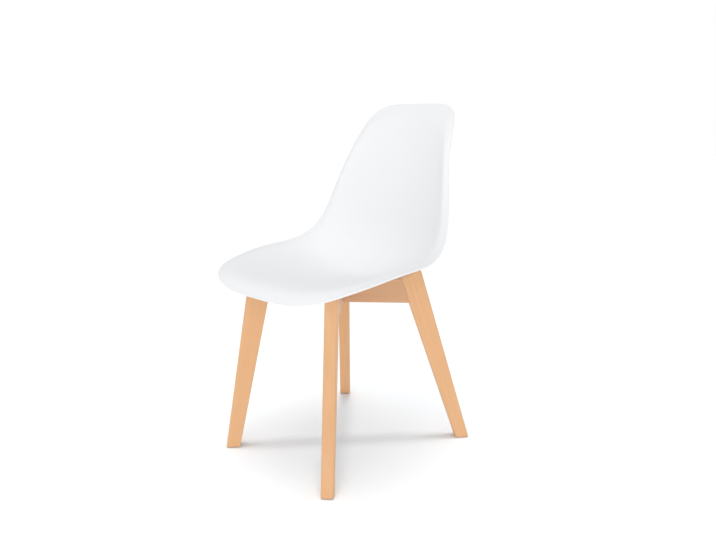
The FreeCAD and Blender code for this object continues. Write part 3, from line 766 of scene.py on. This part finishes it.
def screw_bosses() -> bpy.types.NodeTree:
    """Four bosses under a shell, each grown up to the wall over it and bored from below.

    Returns:
        The geometry node group.
    """
    graph, size, result = geometry_group("screw_bosses", {
        "Crossing": (0.0, 0.0, 0.0), "Rail angle": 0.9, "Front reach": 0.11, "Rear reach": 0.1,
        "Foot height": 0.4, "Wall": 0.004, "Sides": 48, "Radius": 0.01, "Root radius": 0.013,
        "Root start": 0.5, "Hole radius": 0.004, "Hole depth": 0.012})
    foot, last_in_front = size["Foot height"], 1.5
    post_steps, flare_power, ray_length = 14, 1.5, 0.2
    number = graph.add("GeometryNodeInputIndex")
    rear = number > last_in_front
    side = 1.0 - graph.math("MODULO", number, 2.0) * 2.0
    reach = graph.blend(rear, size["Front reach"], size["Rear reach"])
    across = side * graph.math("COSINE", size["Rail angle"])
    back = graph.math("SINE", size["Rail angle"]) * graph.blend(rear, -1.0, 1.0)
    place = graph.join(across * reach, back * reach, foot)
    place = graph.add("ShaderNodeVectorMath", {0: place, 1: size["Crossing"]}, operation="ADD")
    spots = graph.add("GeometryNodePoints", {"Count": len(Corner), "Position": place})

    post = graph.add("GeometryNodeMeshCylinder", {"Vertices": size["Sides"], "Side Segments": post_steps,
                                                  "Radius": 1.0, "Depth": 1.0})
    x, y, z = graph.split(graph.point())
    share = z + 0.5
    flare = graph.math("POWER", graph.ramp(share, size["Root start"], 1.0), flare_power)
    flare = graph.blend(flare, size["Radius"], size["Root radius"])
    posts = graph.copies(spots, graph.moved(post, graph.join(x * flare, y * flare, share)))
    x, y, z = graph.split(graph.point())
    room = graph.add("GeometryNodeRaycast", {"Target Geometry": size["Geometry"],
                                             "Source Position": graph.join(x, y, foot),
                                             "Ray Direction": (0.0, 0.0, 1.0), "Ray Length": ray_length},
                     "Hit Distance")
    height = room + size["Wall"] / 2.0
    posts = graph.moved(posts, graph.join(x, y, (z - foot) * height + foot))

    drill = graph.add("GeometryNodeMeshCylinder", {"Vertices": size["Sides"], "Radius": size["Hole radius"],
                                                   "Depth": size["Hole depth"] * 2.0})
    joined = graph.add("GeometryNodeMeshBoolean", {"Mesh 2": [size["Geometry"], posts]}, operation="UNION",
                       solver="MANIFOLD")
    bored = graph.add("GeometryNodeMeshBoolean", {"Mesh 1": joined, "Mesh 2": graph.copies(spots, drill)},
                      operation="DIFFERENCE", solver="MANIFOLD")
    return dressed_tree(graph, size, result, bored)


def new_mesh(name: str, points: list, faces: list, edges: list | None = None) -> bpy.types.Mesh:
    """Makes a smooth mesh.

    Args:
        name: its name.
        points: its points.
        faces: point numbers of its faces.
        edges: point numbers of its loose edges.

    Returns:
        The mesh.
    """
    mesh = bpy.data.meshes.new(name)
    mesh.from_pydata([tuple(map(float, point)) for point in points], edges or [], faces)
    mesh.shade_smooth()
    return mesh


def new_piece(name: str, mesh: bpy.types.Mesh) -> bpy.types.Object:
    """Puts a mesh into the scene at the origin.

    Args:
        name: the object's name.
        mesh: the mesh.

    Returns:
        The object.
    """
    piece = bpy.data.objects.new(name, mesh)
    bpy.context.scene.collection.objects.link(piece)
    return piece


def finish_piece(piece: bpy.types.Object, slot: str, *nodes: str) -> None:
    """Gives a piece its place in the frame.

    Args:
        piece: the piece, which has its material.
        slot: the record's material slot; not used.
        nodes: the CAD nodes that it stands for.
    """
    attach(piece, BODY)
    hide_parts(*nodes)
    LOG.info("%s: %d faces", piece.name, len(piece.data.polygons))


# The beech frame


def tapered_board() -> bpy.types.NodeTree:
    """A tapered board with rounded arrises, swept up from its foot.

    Its section is drawn at the foot. Its two narrow sides lean by their own slopes and
    keep their rounding, the inner one up to the knee, where the rail meets it flush. Its
    head is cut along a sloping line.

    Returns:
        The geometry node group.
    """
    graph, size, result = geometry_group("tapered_board", {
        "Foot width": 0.032, "Thickness": 0.026, "Inner radius": 0.003, "Outer radius": 0.005,
        "Arris steps": 6, "Rings": 100, "Foot reach": 0.25, "Foot height": 0.0, "Inner slope": 0.2,
        "Outer slope": 0.15, "Knee height": 0.35, "Inner head height": 0.4, "Outer head height": 0.4,
        "Crossing": (0.0, 0.0, 0.0), "Heading": 0.0})
    half = size["Foot width"] / 2.0
    section = graph.add("GeometryNodeCurvePrimitiveQuadrilateral",
                        {"Width": size["Foot width"], "Height": size["Thickness"]})
    radius = graph.blend(graph.split(graph.point())[0] > 0.0, size["Inner radius"], size["Outer radius"])
    rounded = graph.add("GeometryNodeFilletCurve",
                        {"Curve": section, "Count": size["Arris steps"], "Radius": radius}, mode="POLY")
    line = graph.add("GeometryNodeMeshLine", {"Count": size["Rings"], "Start Location": (0, 0, 0),
                                              "Offset": (0, 0, 1)})
    path = graph.add("GeometryNodeMeshToCurve", {"Mesh": line})
    upright = graph.add("GeometryNodeSetCurveNormal", {"Curve": path, "Normal": (1.0, 0.0, 0.0)}, mode="FREE")
    swept = graph.add("GeometryNodeCurveToMesh", {"Curve": upright, "Profile Curve": rounded,
                                                  "Fill Caps": True})

    across, depth, ring_number = graph.split(graph.point())
    share = ring_number / (size["Rings"] - 1.0)
    outer = across > 0.0
    slope = graph.blend(outer, size["Inner slope"], size["Outer slope"])
    inner_rise = size["Inner head height"] - size["Foot height"]
    outer_rise = size["Outer head height"] - size["Foot height"]
    inner_head = half * -1.0 - inner_rise * size["Inner slope"]
    outer_head = half - outer_rise * size["Outer slope"]
    head_slope = (outer_rise - inner_rise) / (outer_head - inner_head)
    rise = (inner_rise + head_slope * (across - inner_head)) / (1.0 + head_slope * slope)
    height = share * rise
    level = height + size["Foot height"]
    reach = size["Foot reach"] + across - height * slope
    flush = (level > size["Knee height"]) * (1.0 - outer)
    square = graph.math("SIGN", depth) * (size["Thickness"] / 2.0)
    shaped = graph.moved(swept, graph.join(reach, graph.blend(flush, depth, square), level))
    turned = graph.add("GeometryNodeTransform", {"Geometry": shaped, "Translation": size["Crossing"],
                                                 "Rotation": graph.join(z=size["Heading"])})
    return dressed_tree(graph, size, result, graph.merged(turned))


def grow(name: str, tree: bpy.types.NodeTree, values: dict, base: bpy.types.Mesh | None = None,
         bevel: float = 0.0) -> bpy.types.Object:
    """Runs a geometry tree and turns its result into a plain mesh piece.

    Args:
        name: the piece's name.
        tree: the geometry node group.
        values: input values by name.
        base: the mesh that the tree starts from.
        bevel: width of the chamfer round sharp edges, 0 for none.

    Returns:
        The piece.
    """
    holder = new_piece(name, base or bpy.data.meshes.new(name + "_base"))
    modifier = holder.modifiers.new("grow", "NODES")
    modifier.node_group = tree
    for item in tree.interface.items_tree:
        if item.item_type == "SOCKET" and item.in_out == "INPUT" and item.name in values:
            modifier[item.identifier] = values[item.name]
    if bevel:
        soft = holder.modifiers.new("soft_ends", "BEVEL")
        soft.width, soft.segments, soft.limit_method = bevel, SOFT_END_STEPS, "ANGLE"
        soft.angle_limit = SOFT_END_ANGLE
        soft.use_clamp_overlap = False
    depsgraph = bpy.context.evaluated_depsgraph_get()
    mesh = bpy.data.meshes.new_from_object(holder.evaluated_get(depsgraph))
    mesh.name = name
    holder.modifiers.clear()
    holder.data = mesh
    face_outwards(mesh)
    mesh.shade_smooth()
    mesh.set_sharp_from_angle(angle=SHARP_EDGE_ANGLE)
    return holder


def face_outwards(mesh: bpy.types.Mesh) -> None:
    """Turns every face outwards.

    Args:
        mesh: a closed mesh.
    """
    work = bmesh.new()
    work.from_mesh(mesh)
    bmesh.ops.recalc_face_normals(work, faces=work.faces)
    work.to_mesh(mesh)
    work.free()


def stepped(start: Triple, step: Triple, number: int) -> Triple:
    """A start that has moved on by a number of steps."""
    return tuple(first + change * number for first, change in zip(start, step))


@dataclass
class BeechFrame:
    """Two rails that cross on the diagonals and four splayed, tapered legs."""

    rail_depth: float = 0.0525
    rail_rake: float = math.radians(1.7)
    foot_reach: tuple[float, float] = (0.268, 0.332)
    lean: tuple[float, float] = (math.radians(8.2), math.radians(17.7))
    head_rise: tuple[float, float] = (0.001, 0.024)
    foot_width: float = 0.0325
    knee_width: float = 0.051
    leg_thickness: float = 0.0275
    inner_radius: float = 0.002
    outer_radius: float = 0.005
    foot_height: float = 0.0025
    end_chamfer: float = 0.0007
    # The rails' two grain tones are darker and greyer than the legs': painted shade of the seat above, over the
    # boards' own grain.
    rail_light: Triple = (0.74, 0.430, 0.250)
    rail_dark: Triple = (0.60, 0.328, 0.176)
    rail_specular: float = 0.15
    dowel_light: Triple = (0.80, 0.55, 0.33)
    dowel_dark: Triple = (0.66, 0.42, 0.23)
    dowel_contrast: float = 0.6
    dowel_ring_spacing: float = 0.0024
    leg_shift_step: Triple = (0.31, 0.013, 0.0)
    leg_pith: Triple = (0.0, 0.075, 0.06)
    leg_pith_step: Triple = (0.0, 0.011, -0.02)
    rail_shift: Triple = (0.17, 0.02, 0.01)
    rail_shift_step: Triple = (0.4, 0.0, 0.0)
    rail_pith: Triple = (0.0, 0.05, 0.49)
    rail_pith_step: Triple = (0.0, 0.0, 0.03)

    def heading(self, corner: Corner) -> float:
        """Direction from the crossing to a corner, as an angle from +X."""
        turn = -RAIL_ANGLE if corner.end == "front" else RAIL_ANGLE
        return turn if corner.value[1] > 0 else math.pi - turn

    def build_leg(self, corner: Corner) -> bpy.types.Object:
        """Builds one leg.

        Args:
            corner: its corner.

        Returns:
            The piece.
        """
        end = ("front", "rear").index(corner.end)
        rail_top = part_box("rail_upper")[1].z
        knee = rail_top - self.rail_depth
        outer_slope = math.tan(self.lean[end])
        inner_slope = outer_slope + (self.knee_width - self.foot_width) / knee
        outer_foot = self.foot_reach[end] - outer_slope * self.foot_height
        inner_foot = self.foot_reach[end] - self.foot_width - inner_slope * self.foot_height
        heading = self.heading(corner)
        rake = math.tan(self.rail_rake) * (1, -1)[end]
        rail_underside = (knee + rake * (self.foot_reach[end] - self.foot_width)) / (1 + rake * inner_slope)
        middle = (outer_slope + inner_slope) / 2
        along = (-math.cos(heading) * middle, -math.sin(heading) * middle, 1.0)
        number = list(Corner).index(corner)
        finish = BoardFinish("beech_leg_" + corner.label, along,
                             shift=stepped((0.0, 0.0, 0.0), self.leg_shift_step, number),
                             pith=stepped(self.leg_pith, self.leg_pith_step, number))
        values = {
            "Foot width": outer_foot - inner_foot, "Thickness": self.leg_thickness,
            "Inner radius": self.inner_radius, "Outer radius": self.outer_radius,
            "Foot reach": (outer_foot + inner_foot) / 2, "Foot height": self.foot_height,
            "Inner slope": inner_slope, "Outer slope": outer_slope, "Knee height": rail_underside,
            "Inner head height": rail_top, "Outer head height": rail_top + self.head_rise[end],
            "Crossing": CROSSING, "Heading": heading, "Material": finish.material(),
        }
        return grow("leg_board_" + corner.label, shared_group(tapered_board), values, bevel=self.end_chamfer)

    def dress_rails(self) -> None:
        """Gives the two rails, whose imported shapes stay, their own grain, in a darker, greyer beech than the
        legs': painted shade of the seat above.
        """
        for number, (node, corner) in enumerate((("rail_lower", Corner.REAR_LEFT),
                                                 ("rail_upper", Corner.REAR_RIGHT))):
            heading = self.heading(corner)
            along = (math.cos(heading), math.sin(heading), 0.0)
            finish = BoardFinish("beech_" + node, along, self.rail_light, self.rail_dark,
                                 shift=stepped(self.rail_shift, self.rail_shift_step, number),
                                 pith=stepped(self.rail_pith, self.rail_pith_step, number),
                                 specular=self.rail_specular)
            dress_node(node, finish.material())

    def dress_dowels(self, corner: Corner) -> None:
        """Gives a joint's dowels a raw grain along their length.

        Args:
            corner: the joint's corner.
        """
        heading = self.heading(corner)
        upper, lower = (sum(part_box(f"dowel_{corner.label}_{name}"), Vector()) / 2
                        for name in ("upper", "lower"))
        joint = (upper - lower).normalized()
        level = Vector((math.cos(heading), math.sin(heading), 0))
        along = (level - joint * level.dot(joint)).normalized()
        finish = BoardFinish("beech_dowels_" + corner.label, tuple(along), self.dowel_light, self.dowel_dark,
                             contrast=self.dowel_contrast, ring_spacing=self.dowel_ring_spacing)
        material = finish.material()
        for name in ("upper", "lower"):
            dress_node(f"dowel_{corner.label}_{name}", material)

    def build(self) -> list[bpy.types.Object]:
        """Builds the legs and dresses the rails and dowels.

        Returns:
            The legs and the rails.
        """
        legs = []
        for corner in Corner:
            legs.append(self.build_leg(corner))
            finish_piece(legs[-1], "beech", "leg_" + corner.label)
            self.dress_dowels(corner)
        self.dress_rails()
        return [*legs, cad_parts["rail_lower"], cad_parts["rail_upper"]]


def dress_node(name: str, material: bpy.types.Material) -> None:
    """Gives a CAD node a material through its own slots.

    Args:
        name: the node's name.
        material: the material.
    """
    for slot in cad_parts[name].material_slots:
        slot.material = material
    LOG.info("%s: dressed as %s", name, material.name)


# Small fittings


def turned_fitting() -> bpy.types.NodeTree:
    """A small piece turned from its half section, with a hexagon and a knurl where asked.

    The base mesh is the half section: X is the radius and Y the height. Points whose
    radius lies in the hexagon's range keep inside the hexagon, and those beyond the
    knurl's inner radius get its grooves.

    Returns:
        The geometry node group.
    """
    graph, size, result = geometry_group("turned_fitting", {
        "Segments": 96, "Edge radius": 0.0002, "Edge steps": 2, "Hexagon flat": 1.0, "Hexagon from": 0.0,
        "Hexagon to": 0.0, "Knurl depth": 0.0, "Knurl from": 1.0, "Place": (0.0, 0.0, 0.0)})
    ring_radius, side_angle = 0.01, math.pi / 3
    outline = graph.add("GeometryNodeMeshToCurve", {"Mesh": size["Geometry"]})
    eased = graph.add("GeometryNodeFilletCurve",
                      {"Curve": outline, "Count": size["Edge steps"], "Radius": size["Edge radius"],
                       "Limit Radius": True}, mode="POLY")
    section = graph.add("GeometryNodeTransform", {"Geometry": eased, "Translation": (-ring_radius, 0.0, 0.0)})
    circle = graph.add("GeometryNodeCurvePrimitiveCircle", {"Resolution": size["Segments"],
                                                            "Radius": ring_radius})
    outwards = graph.add("GeometryNodeSetCurveNormal", {"Curve": circle, "Normal": graph.point()}, mode="FREE")
    turned = graph.add("GeometryNodeCurveToMesh", {"Curve": outwards, "Profile Curve": section})

    x, y, z = graph.split(graph.point())
    angle = graph.math("ARCTAN2", y, x)
    radius = graph.math("SQRT", graph.math("POWER", x, 2.0) + graph.math("POWER", y, 2.0))
    from_flat = graph.math("FLOORED_MODULO", angle + side_angle / 2, side_angle) - side_angle / 2
    limit = size["Hexagon flat"] / graph.math("COSINE", from_flat)
    in_range = (radius > size["Hexagon from"]) * (radius < size["Hexagon to"])
    shaped = graph.blend(in_range, radius, graph.math("MINIMUM", radius, limit))
    wave = graph.math("COSINE", angle * (size["Segments"] / 2.0))
    shaped = shaped - (1.0 - wave) * size["Knurl depth"] * (radius > size["Knurl from"])
    place = graph.join(graph.math("COSINE", angle) * shaped, graph.math("SINE", angle) * shaped, z * -1.0)
    formed = graph.merged(graph.moved(turned, place))
    placed = graph.add("GeometryNodeTransform", {"Geometry": formed, "Translation": size["Place"]})
    return dressed_tree(graph, size, result, placed)


@dataclass
class Fittings:
    """Bolts, washers, nut, pads and glides, turned from their half sections, and the inserts."""

    head_radius: float = 0.005
    head_height: float = 0.006
    head_chamfer: float = 0.0005
    shank_radius: float = 0.003
    thread_chamfer: float = 0.0008
    socket_corner: float = 0.0029
    socket_depth: float = 0.003
    socket_cone: float = 0.0005
    knurl_depth: float = 0.00006
    washer_radii: tuple[float, float] = (0.0033, 0.006)
    pad_radii: tuple[float, float] = (0.0033, 0.010)
    nut_hole: float = 0.0031
    nut_corner: float = 0.0057
    nut_chamfer: float = 0.0009
    glide_radius: float = 0.010
    glide_thickness: float = 0.0025
    glide_chamfer: float = 0.0005
    glide_dimple: tuple[float, float] = (0.003, 0.0005)
    pin_radius: float = 0.002
    pin_point: float = 0.0005
    segments: int = 72
    fine_segments: int = 96
    bolt_edge: float = 0.0002
    washer_edge: float = 0.0003
    nut_edge: float = 0.0001
    glide_edge: float = 0.0003
    pad_edge: float = 0.0007
    pad_edge_steps: int = 4

    def bolt(self, height: float) -> list[tuple[float, float]]:
        """Half section of a socket head bolt that points up.

        Args:
            height: its whole height.

        Returns:
            Radius and height of its corners.
        """
        head, shank = self.head_radius, self.shank_radius
        return [(0.0, self.socket_depth + self.socket_cone), (self.socket_corner, self.socket_depth),
                (self.socket_corner, 0.0), (head - self.head_chamfer, 0.0), (head, self.head_chamfer),
                (head, self.head_height), (shank, self.head_height), (shank, height - self.thread_chamfer),
                (shank - self.thread_chamfer, height), (0.0, height)]

    def nut(self, height: float) -> list[tuple[float, float]]:
        """Half section of a hexagon nut with chamfered corners.

        Args:
            height: its height.

        Returns:
            Radius and height of its corners.
        """
        hole, corner, cut = self.nut_hole, self.nut_corner, self.nut_chamfer
        flat = corner * math.cos(math.pi / 6) - cut / 4
        return [(hole + cut / 2, 0.0), (flat, 0.0), (corner, cut / 2), (corner, height - cut / 2),
                (flat, height), (hole + cut / 2, height), (hole, height - cut / 2), (hole, cut / 2)]

    def glide(self, height: float) -> list[tuple[float, float]]:
        """Half section of a glide with its pin.

        Args:
            height: its whole height.

        Returns:
            Radius and height of its corners.
        """
        dimple, depth = self.glide_dimple
        return [(0.0, depth), (dimple - depth, depth), (dimple, 0.0),
                (self.glide_radius - self.glide_chamfer, 0.0), (self.glide_radius, self.glide_chamfer),
                (self.glide_radius, self.glide_thickness), (self.pin_radius, self.glide_thickness),
                (self.pin_radius, height + self.pin_point - self.pin_radius),
                (self.pin_point, height), (0.0, height)]

    def turn(self, node: str, section: list[tuple[float, float]], slot: str, **values: object) -> None:
        """Builds a turned piece on its node's own axis.

        Args:
            node: the CAD node that it stands for.
            section: radius and height of its half section's corners.
            slot: the record's material slot.
            values: inputs of the geometry tree by name, with underscores for spaces.
        """
        low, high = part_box(node)
        closed = [(len(section) - 1, 0)] if section[0][0] > 0 else []
        edges = [(number, number + 1) for number in range(len(section) - 1)] + closed
        base = new_mesh(node + "_section", [(*corner, 0.0) for corner in section], [], edges)
        inputs = {name.replace("_", " "): value for name, value in values.items()}
        inputs["Place"] = ((low.x + high.x) / 2, (low.y + high.y) / 2, low.z)
        finish_piece(grow("turned_" + node, shared_group(turned_fitting), inputs, base=base), slot, node)

    def build(self) -> None:
        """Builds the fittings and dresses the inserts."""
        zinc, brass, rubber, nylon = (finish.material() for finish in (ZINC, BRASS, RUBBER, NYLON))
        labels = [corner.label for corner in Corner]
        for node in ("cross_bolt", *("seat_bolt_" + label for label in labels)):
            self.turn(node, self.bolt(tall(node)), "steel", Material=zinc, Segments=self.fine_segments,
                      Edge_radius=self.bolt_edge, Hexagon_flat=self.socket_corner * math.cos(math.pi / 6),
                      Hexagon_to=(self.socket_corner + self.shank_radius) / 2,
                      Knurl_depth=self.knurl_depth, Knurl_from=self.head_radius - self.head_chamfer / 10)
        for node in ("cross_washer_lower", "cross_washer_upper", *("seat_washer_" + label for label in labels)):
            self.turn(node, ring(self.washer_radii, tall(node)), "steel", Material=zinc,
                      Segments=self.segments, Edge_radius=self.washer_edge)
        self.turn("cross_nut", self.nut(tall("cross_nut")), "steel", Material=zinc,
                  Segments=self.fine_segments, Edge_radius=self.nut_edge,
                  Hexagon_flat=self.nut_corner * math.cos(math.pi / 6),
                  Hexagon_from=(self.nut_hole + self.nut_corner) / 2, Hexagon_to=1.0)
        for label in labels:
            self.turn("pad_" + label, ring(self.pad_radii, tall("pad_" + label)), "rubber", Material=rubber,
                      Segments=self.segments, Edge_radius=self.pad_edge, Edge_steps=self.pad_edge_steps)
            self.turn("glide_" + label, self.glide(tall("glide_" + label)), "nylon", Material=nylon,
                      Segments=self.segments, Edge_radius=self.glide_edge)
            dress_node("insert_" + label, brass)


def tall(node: str) -> float:
    """Height of a CAD node's box."""
    low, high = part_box(node)
    return high.z - low.z


def ring(radii: tuple[float, float], height: float) -> list[tuple[float, float]]:
    """Half section of a plain ring between its inner and its outer radius."""
    inner, outer = radii
    return [(inner, 0.0), (outer, 0.0), (outer, height), (inner, height)]


# The studio


@dataclass(frozen=True)
class Lamp:
    """A far lamp that looks wide from the chair, so that its shadows are soft.

    Its direction is where it stands, its strength is in watts for a square metre that
    faces it, and its spread is how wide it looks, in degrees.
    """

    name: str
    direction: Triple
    strength: float
    spread: float

    def build(self) -> bpy.types.Object:
        """Sets the lamp.

        Returns:
            The lamp.
        """
        light = bpy.data.lights.new(self.name, "SUN")
        light.energy, light.angle = self.strength, math.radians(self.spread)
        lamp = bpy.data.objects.new(self.name, light)
        place = Vector(self.direction).normalized() * LAMP_DISTANCE
        lamp.matrix_world = Matrix.Translation(place) @ place.to_track_quat("Z", "Y").to_matrix().to_4x4()
        bpy.context.scene.collection.objects.link(lamp)
        return lamp


@dataclass
class Studio:
    """A white floor in an even white room, with soft light from above and from the front.

    The two shade lamps light the floor alone. All pieces block the first, and only the
    legs and rails block the second.
    """

    floor_half: float = 30.0
    floor_colour: Triple = (0.810, 0.837, 0.858)
    floor_change: float = 0.995
    floor_noise: float = 3.0
    floor_lift: float = 0.045
    room_light: float = 0.505
    seat_shade: Lamp = Lamp("seat_shade", (-0.09, -0.064, 1.0), 0.42, 27)
    frame_shade: Lamp = Lamp("frame_shade", (0.0, 0.0, 1.0), 0.94, 9)
    chair_lamps: tuple[Lamp, ...] = (
        Lamp("top_light", (0.03, 0.0, 1.0), 0.62, 36),
        Lamp("low_front_light", (0.53, -0.74, 0.25), 0.67, 50),
        Lamp("high_front_light", (0.53, -0.74, 1.0), 0.33, 50),
    )

    def white_floor(self) -> bpy.types.Material:
        """A pale floor that keeps the shadow and reads as white where it is lit.

        Returns:
            The material.
        """
        material, graph, shader = new_material("white_floor")
        graph.tree.nodes.remove(shader)
        place = graph.add("ShaderNodeTexCoord", output="Object")
        tone = graph.ramp(graph.noise(place, self.floor_noise), 0.3, 0.7)
        darker = tuple(part * self.floor_change for part in self.floor_colour)
        card = graph.add("ShaderNodeBsdfDiffuse", {"Color": graph.tint(tone, rgba(self.floor_colour),
                                                                       rgba(darker))})
        glow = graph.add("ShaderNodeEmission", {"Color": rgba((1, 1, 1)), "Strength": self.floor_lift})
        nothing = graph.add("ShaderNodeEmission", {"Strength": 0.0})
        lift = graph.add("ShaderNodeMixShader", {0: graph.seen_ray(), 1: nothing, 2: glow})
        both = graph.add("ShaderNodeAddShader", {0: card, 1: lift})
        below = graph.add("ShaderNodeNewGeometry", output="Backfacing")
        clear = graph.add("ShaderNodeBsdfTransparent")
        shown = graph.add("ShaderNodeMixShader", {0: below, 1: both, 2: clear})
        graph.feed(graph.tree.nodes["Material Output"].inputs["Surface"], shown)
        return material

    def build(self, frame_pieces: list[bpy.types.Object]) -> None:
        """Lays the floor and sets the lights.

        Args:
            frame_pieces: the legs and rails, whose own shadow shows under the seat.
        """
        side = self.floor_half
        corners = [(-side, -side, 0), (side, -side, 0), (side, side, 0), (-side, side, 0)]
        floor = new_piece("studio_floor", new_mesh("studio_floor", corners, [(0, 1, 2, 3)]))
        floor.data.materials.append(self.white_floor())
        seat_shade, frame_shade = self.seat_shade.build(), self.frame_shade.build()
        for lamp in (seat_shade, frame_shade):
            lamp.light_linking.receiver_collection = gathered("lit_by_" + lamp.name, [floor])
        frame_shade.light_linking.blocker_collection = gathered("frame_pieces", frame_pieces)
        world = bpy.data.worlds.new("white_studio")
        bpy.context.scene.world = world
        world.use_nodes = True
        graph = Graph(world.node_tree)
        sky = world.node_tree.nodes["Background"]
        graph.feed(sky.inputs["Color"], rgba((1, 1, 1)))
        graph.feed(sky.inputs["Strength"], graph.blend(graph.seen_ray(), self.room_light, 1.0))
        for lamp in self.chair_lamps:
            lamp.build()


def gathered(name: str, pieces: list[bpy.types.Object]) -> bpy.types.Collection:
    """Puts objects into a collection of their own, which light linking reads.

    Args:
        name: the collection's name.
        pieces: the objects.

    Returns:
        The collection.
    """
    collection = bpy.data.collections.new(name)
    for piece in pieces:
        collection.objects.link(piece)
    return collection


@dataclass
class Viewpoint:
    """The photograph's point of view, in a picture 716 pixels wide."""

    azimuth: float = math.radians(42.439)
    elevation: float = math.radians(11.782)
    roll: float = math.radians(0.953)
    distance: float = 1.542
    aim_height: float = 0.42
    aim_right: float = 0.0314
    aim_up: float = 0.0089
    focal_pixels: float = 652.45
    picture_width: float = 716
    sensor_width: float = 36.0
    clip: tuple[float, float] = (0.05, 100.0)

    def build(self) -> None:
        """Sets up the camera."""
        back = Vector((math.sin(self.azimuth) * math.cos(self.elevation),
                       -math.cos(self.azimuth) * math.cos(self.elevation), math.sin(self.elevation)))
        right = (-back).cross(Vector((0, 0, 1))).normalized()
        up = right.cross(-back)
        aim = Vector((0, 0, self.aim_height)) + right * self.aim_right + up * self.aim_up
        turned_right = right * math.cos(self.roll) + up * math.sin(self.roll)
        turned_up = up * math.cos(self.roll) - right * math.sin(self.roll)
        camera = bpy.data.cameras.new("photo_camera")
        camera.sensor_fit = "HORIZONTAL"
        camera.sensor_width = self.sensor_width
        camera.lens = self.focal_pixels / self.picture_width * self.sensor_width
        camera.clip_start, camera.clip_end = self.clip
        holder = bpy.data.objects.new("photo_camera", camera)
        turn = Matrix((turned_right, turned_up, back)).transposed().to_4x4()
        holder.matrix_world = Matrix.Translation(aim + back * self.distance) @ turn
        bpy.context.scene.collection.objects.link(holder)
        bpy.context.scene.camera = holder


def main() -> None:
    """Builds the chair and the studio in order."""
    logging.basicConfig(level=logging.INFO, format="%(message)s")
    bpy.context.scene.view_settings.view_transform = "Standard"
    Viewpoint().build()
    finish_piece(SeatShell().build(), "shell_plastic", "seat_shell")
    frame_pieces = BeechFrame().build()
    Fittings().build()
    Studio().build(frame_pieces)


if __name__ == "__main__":
    main()
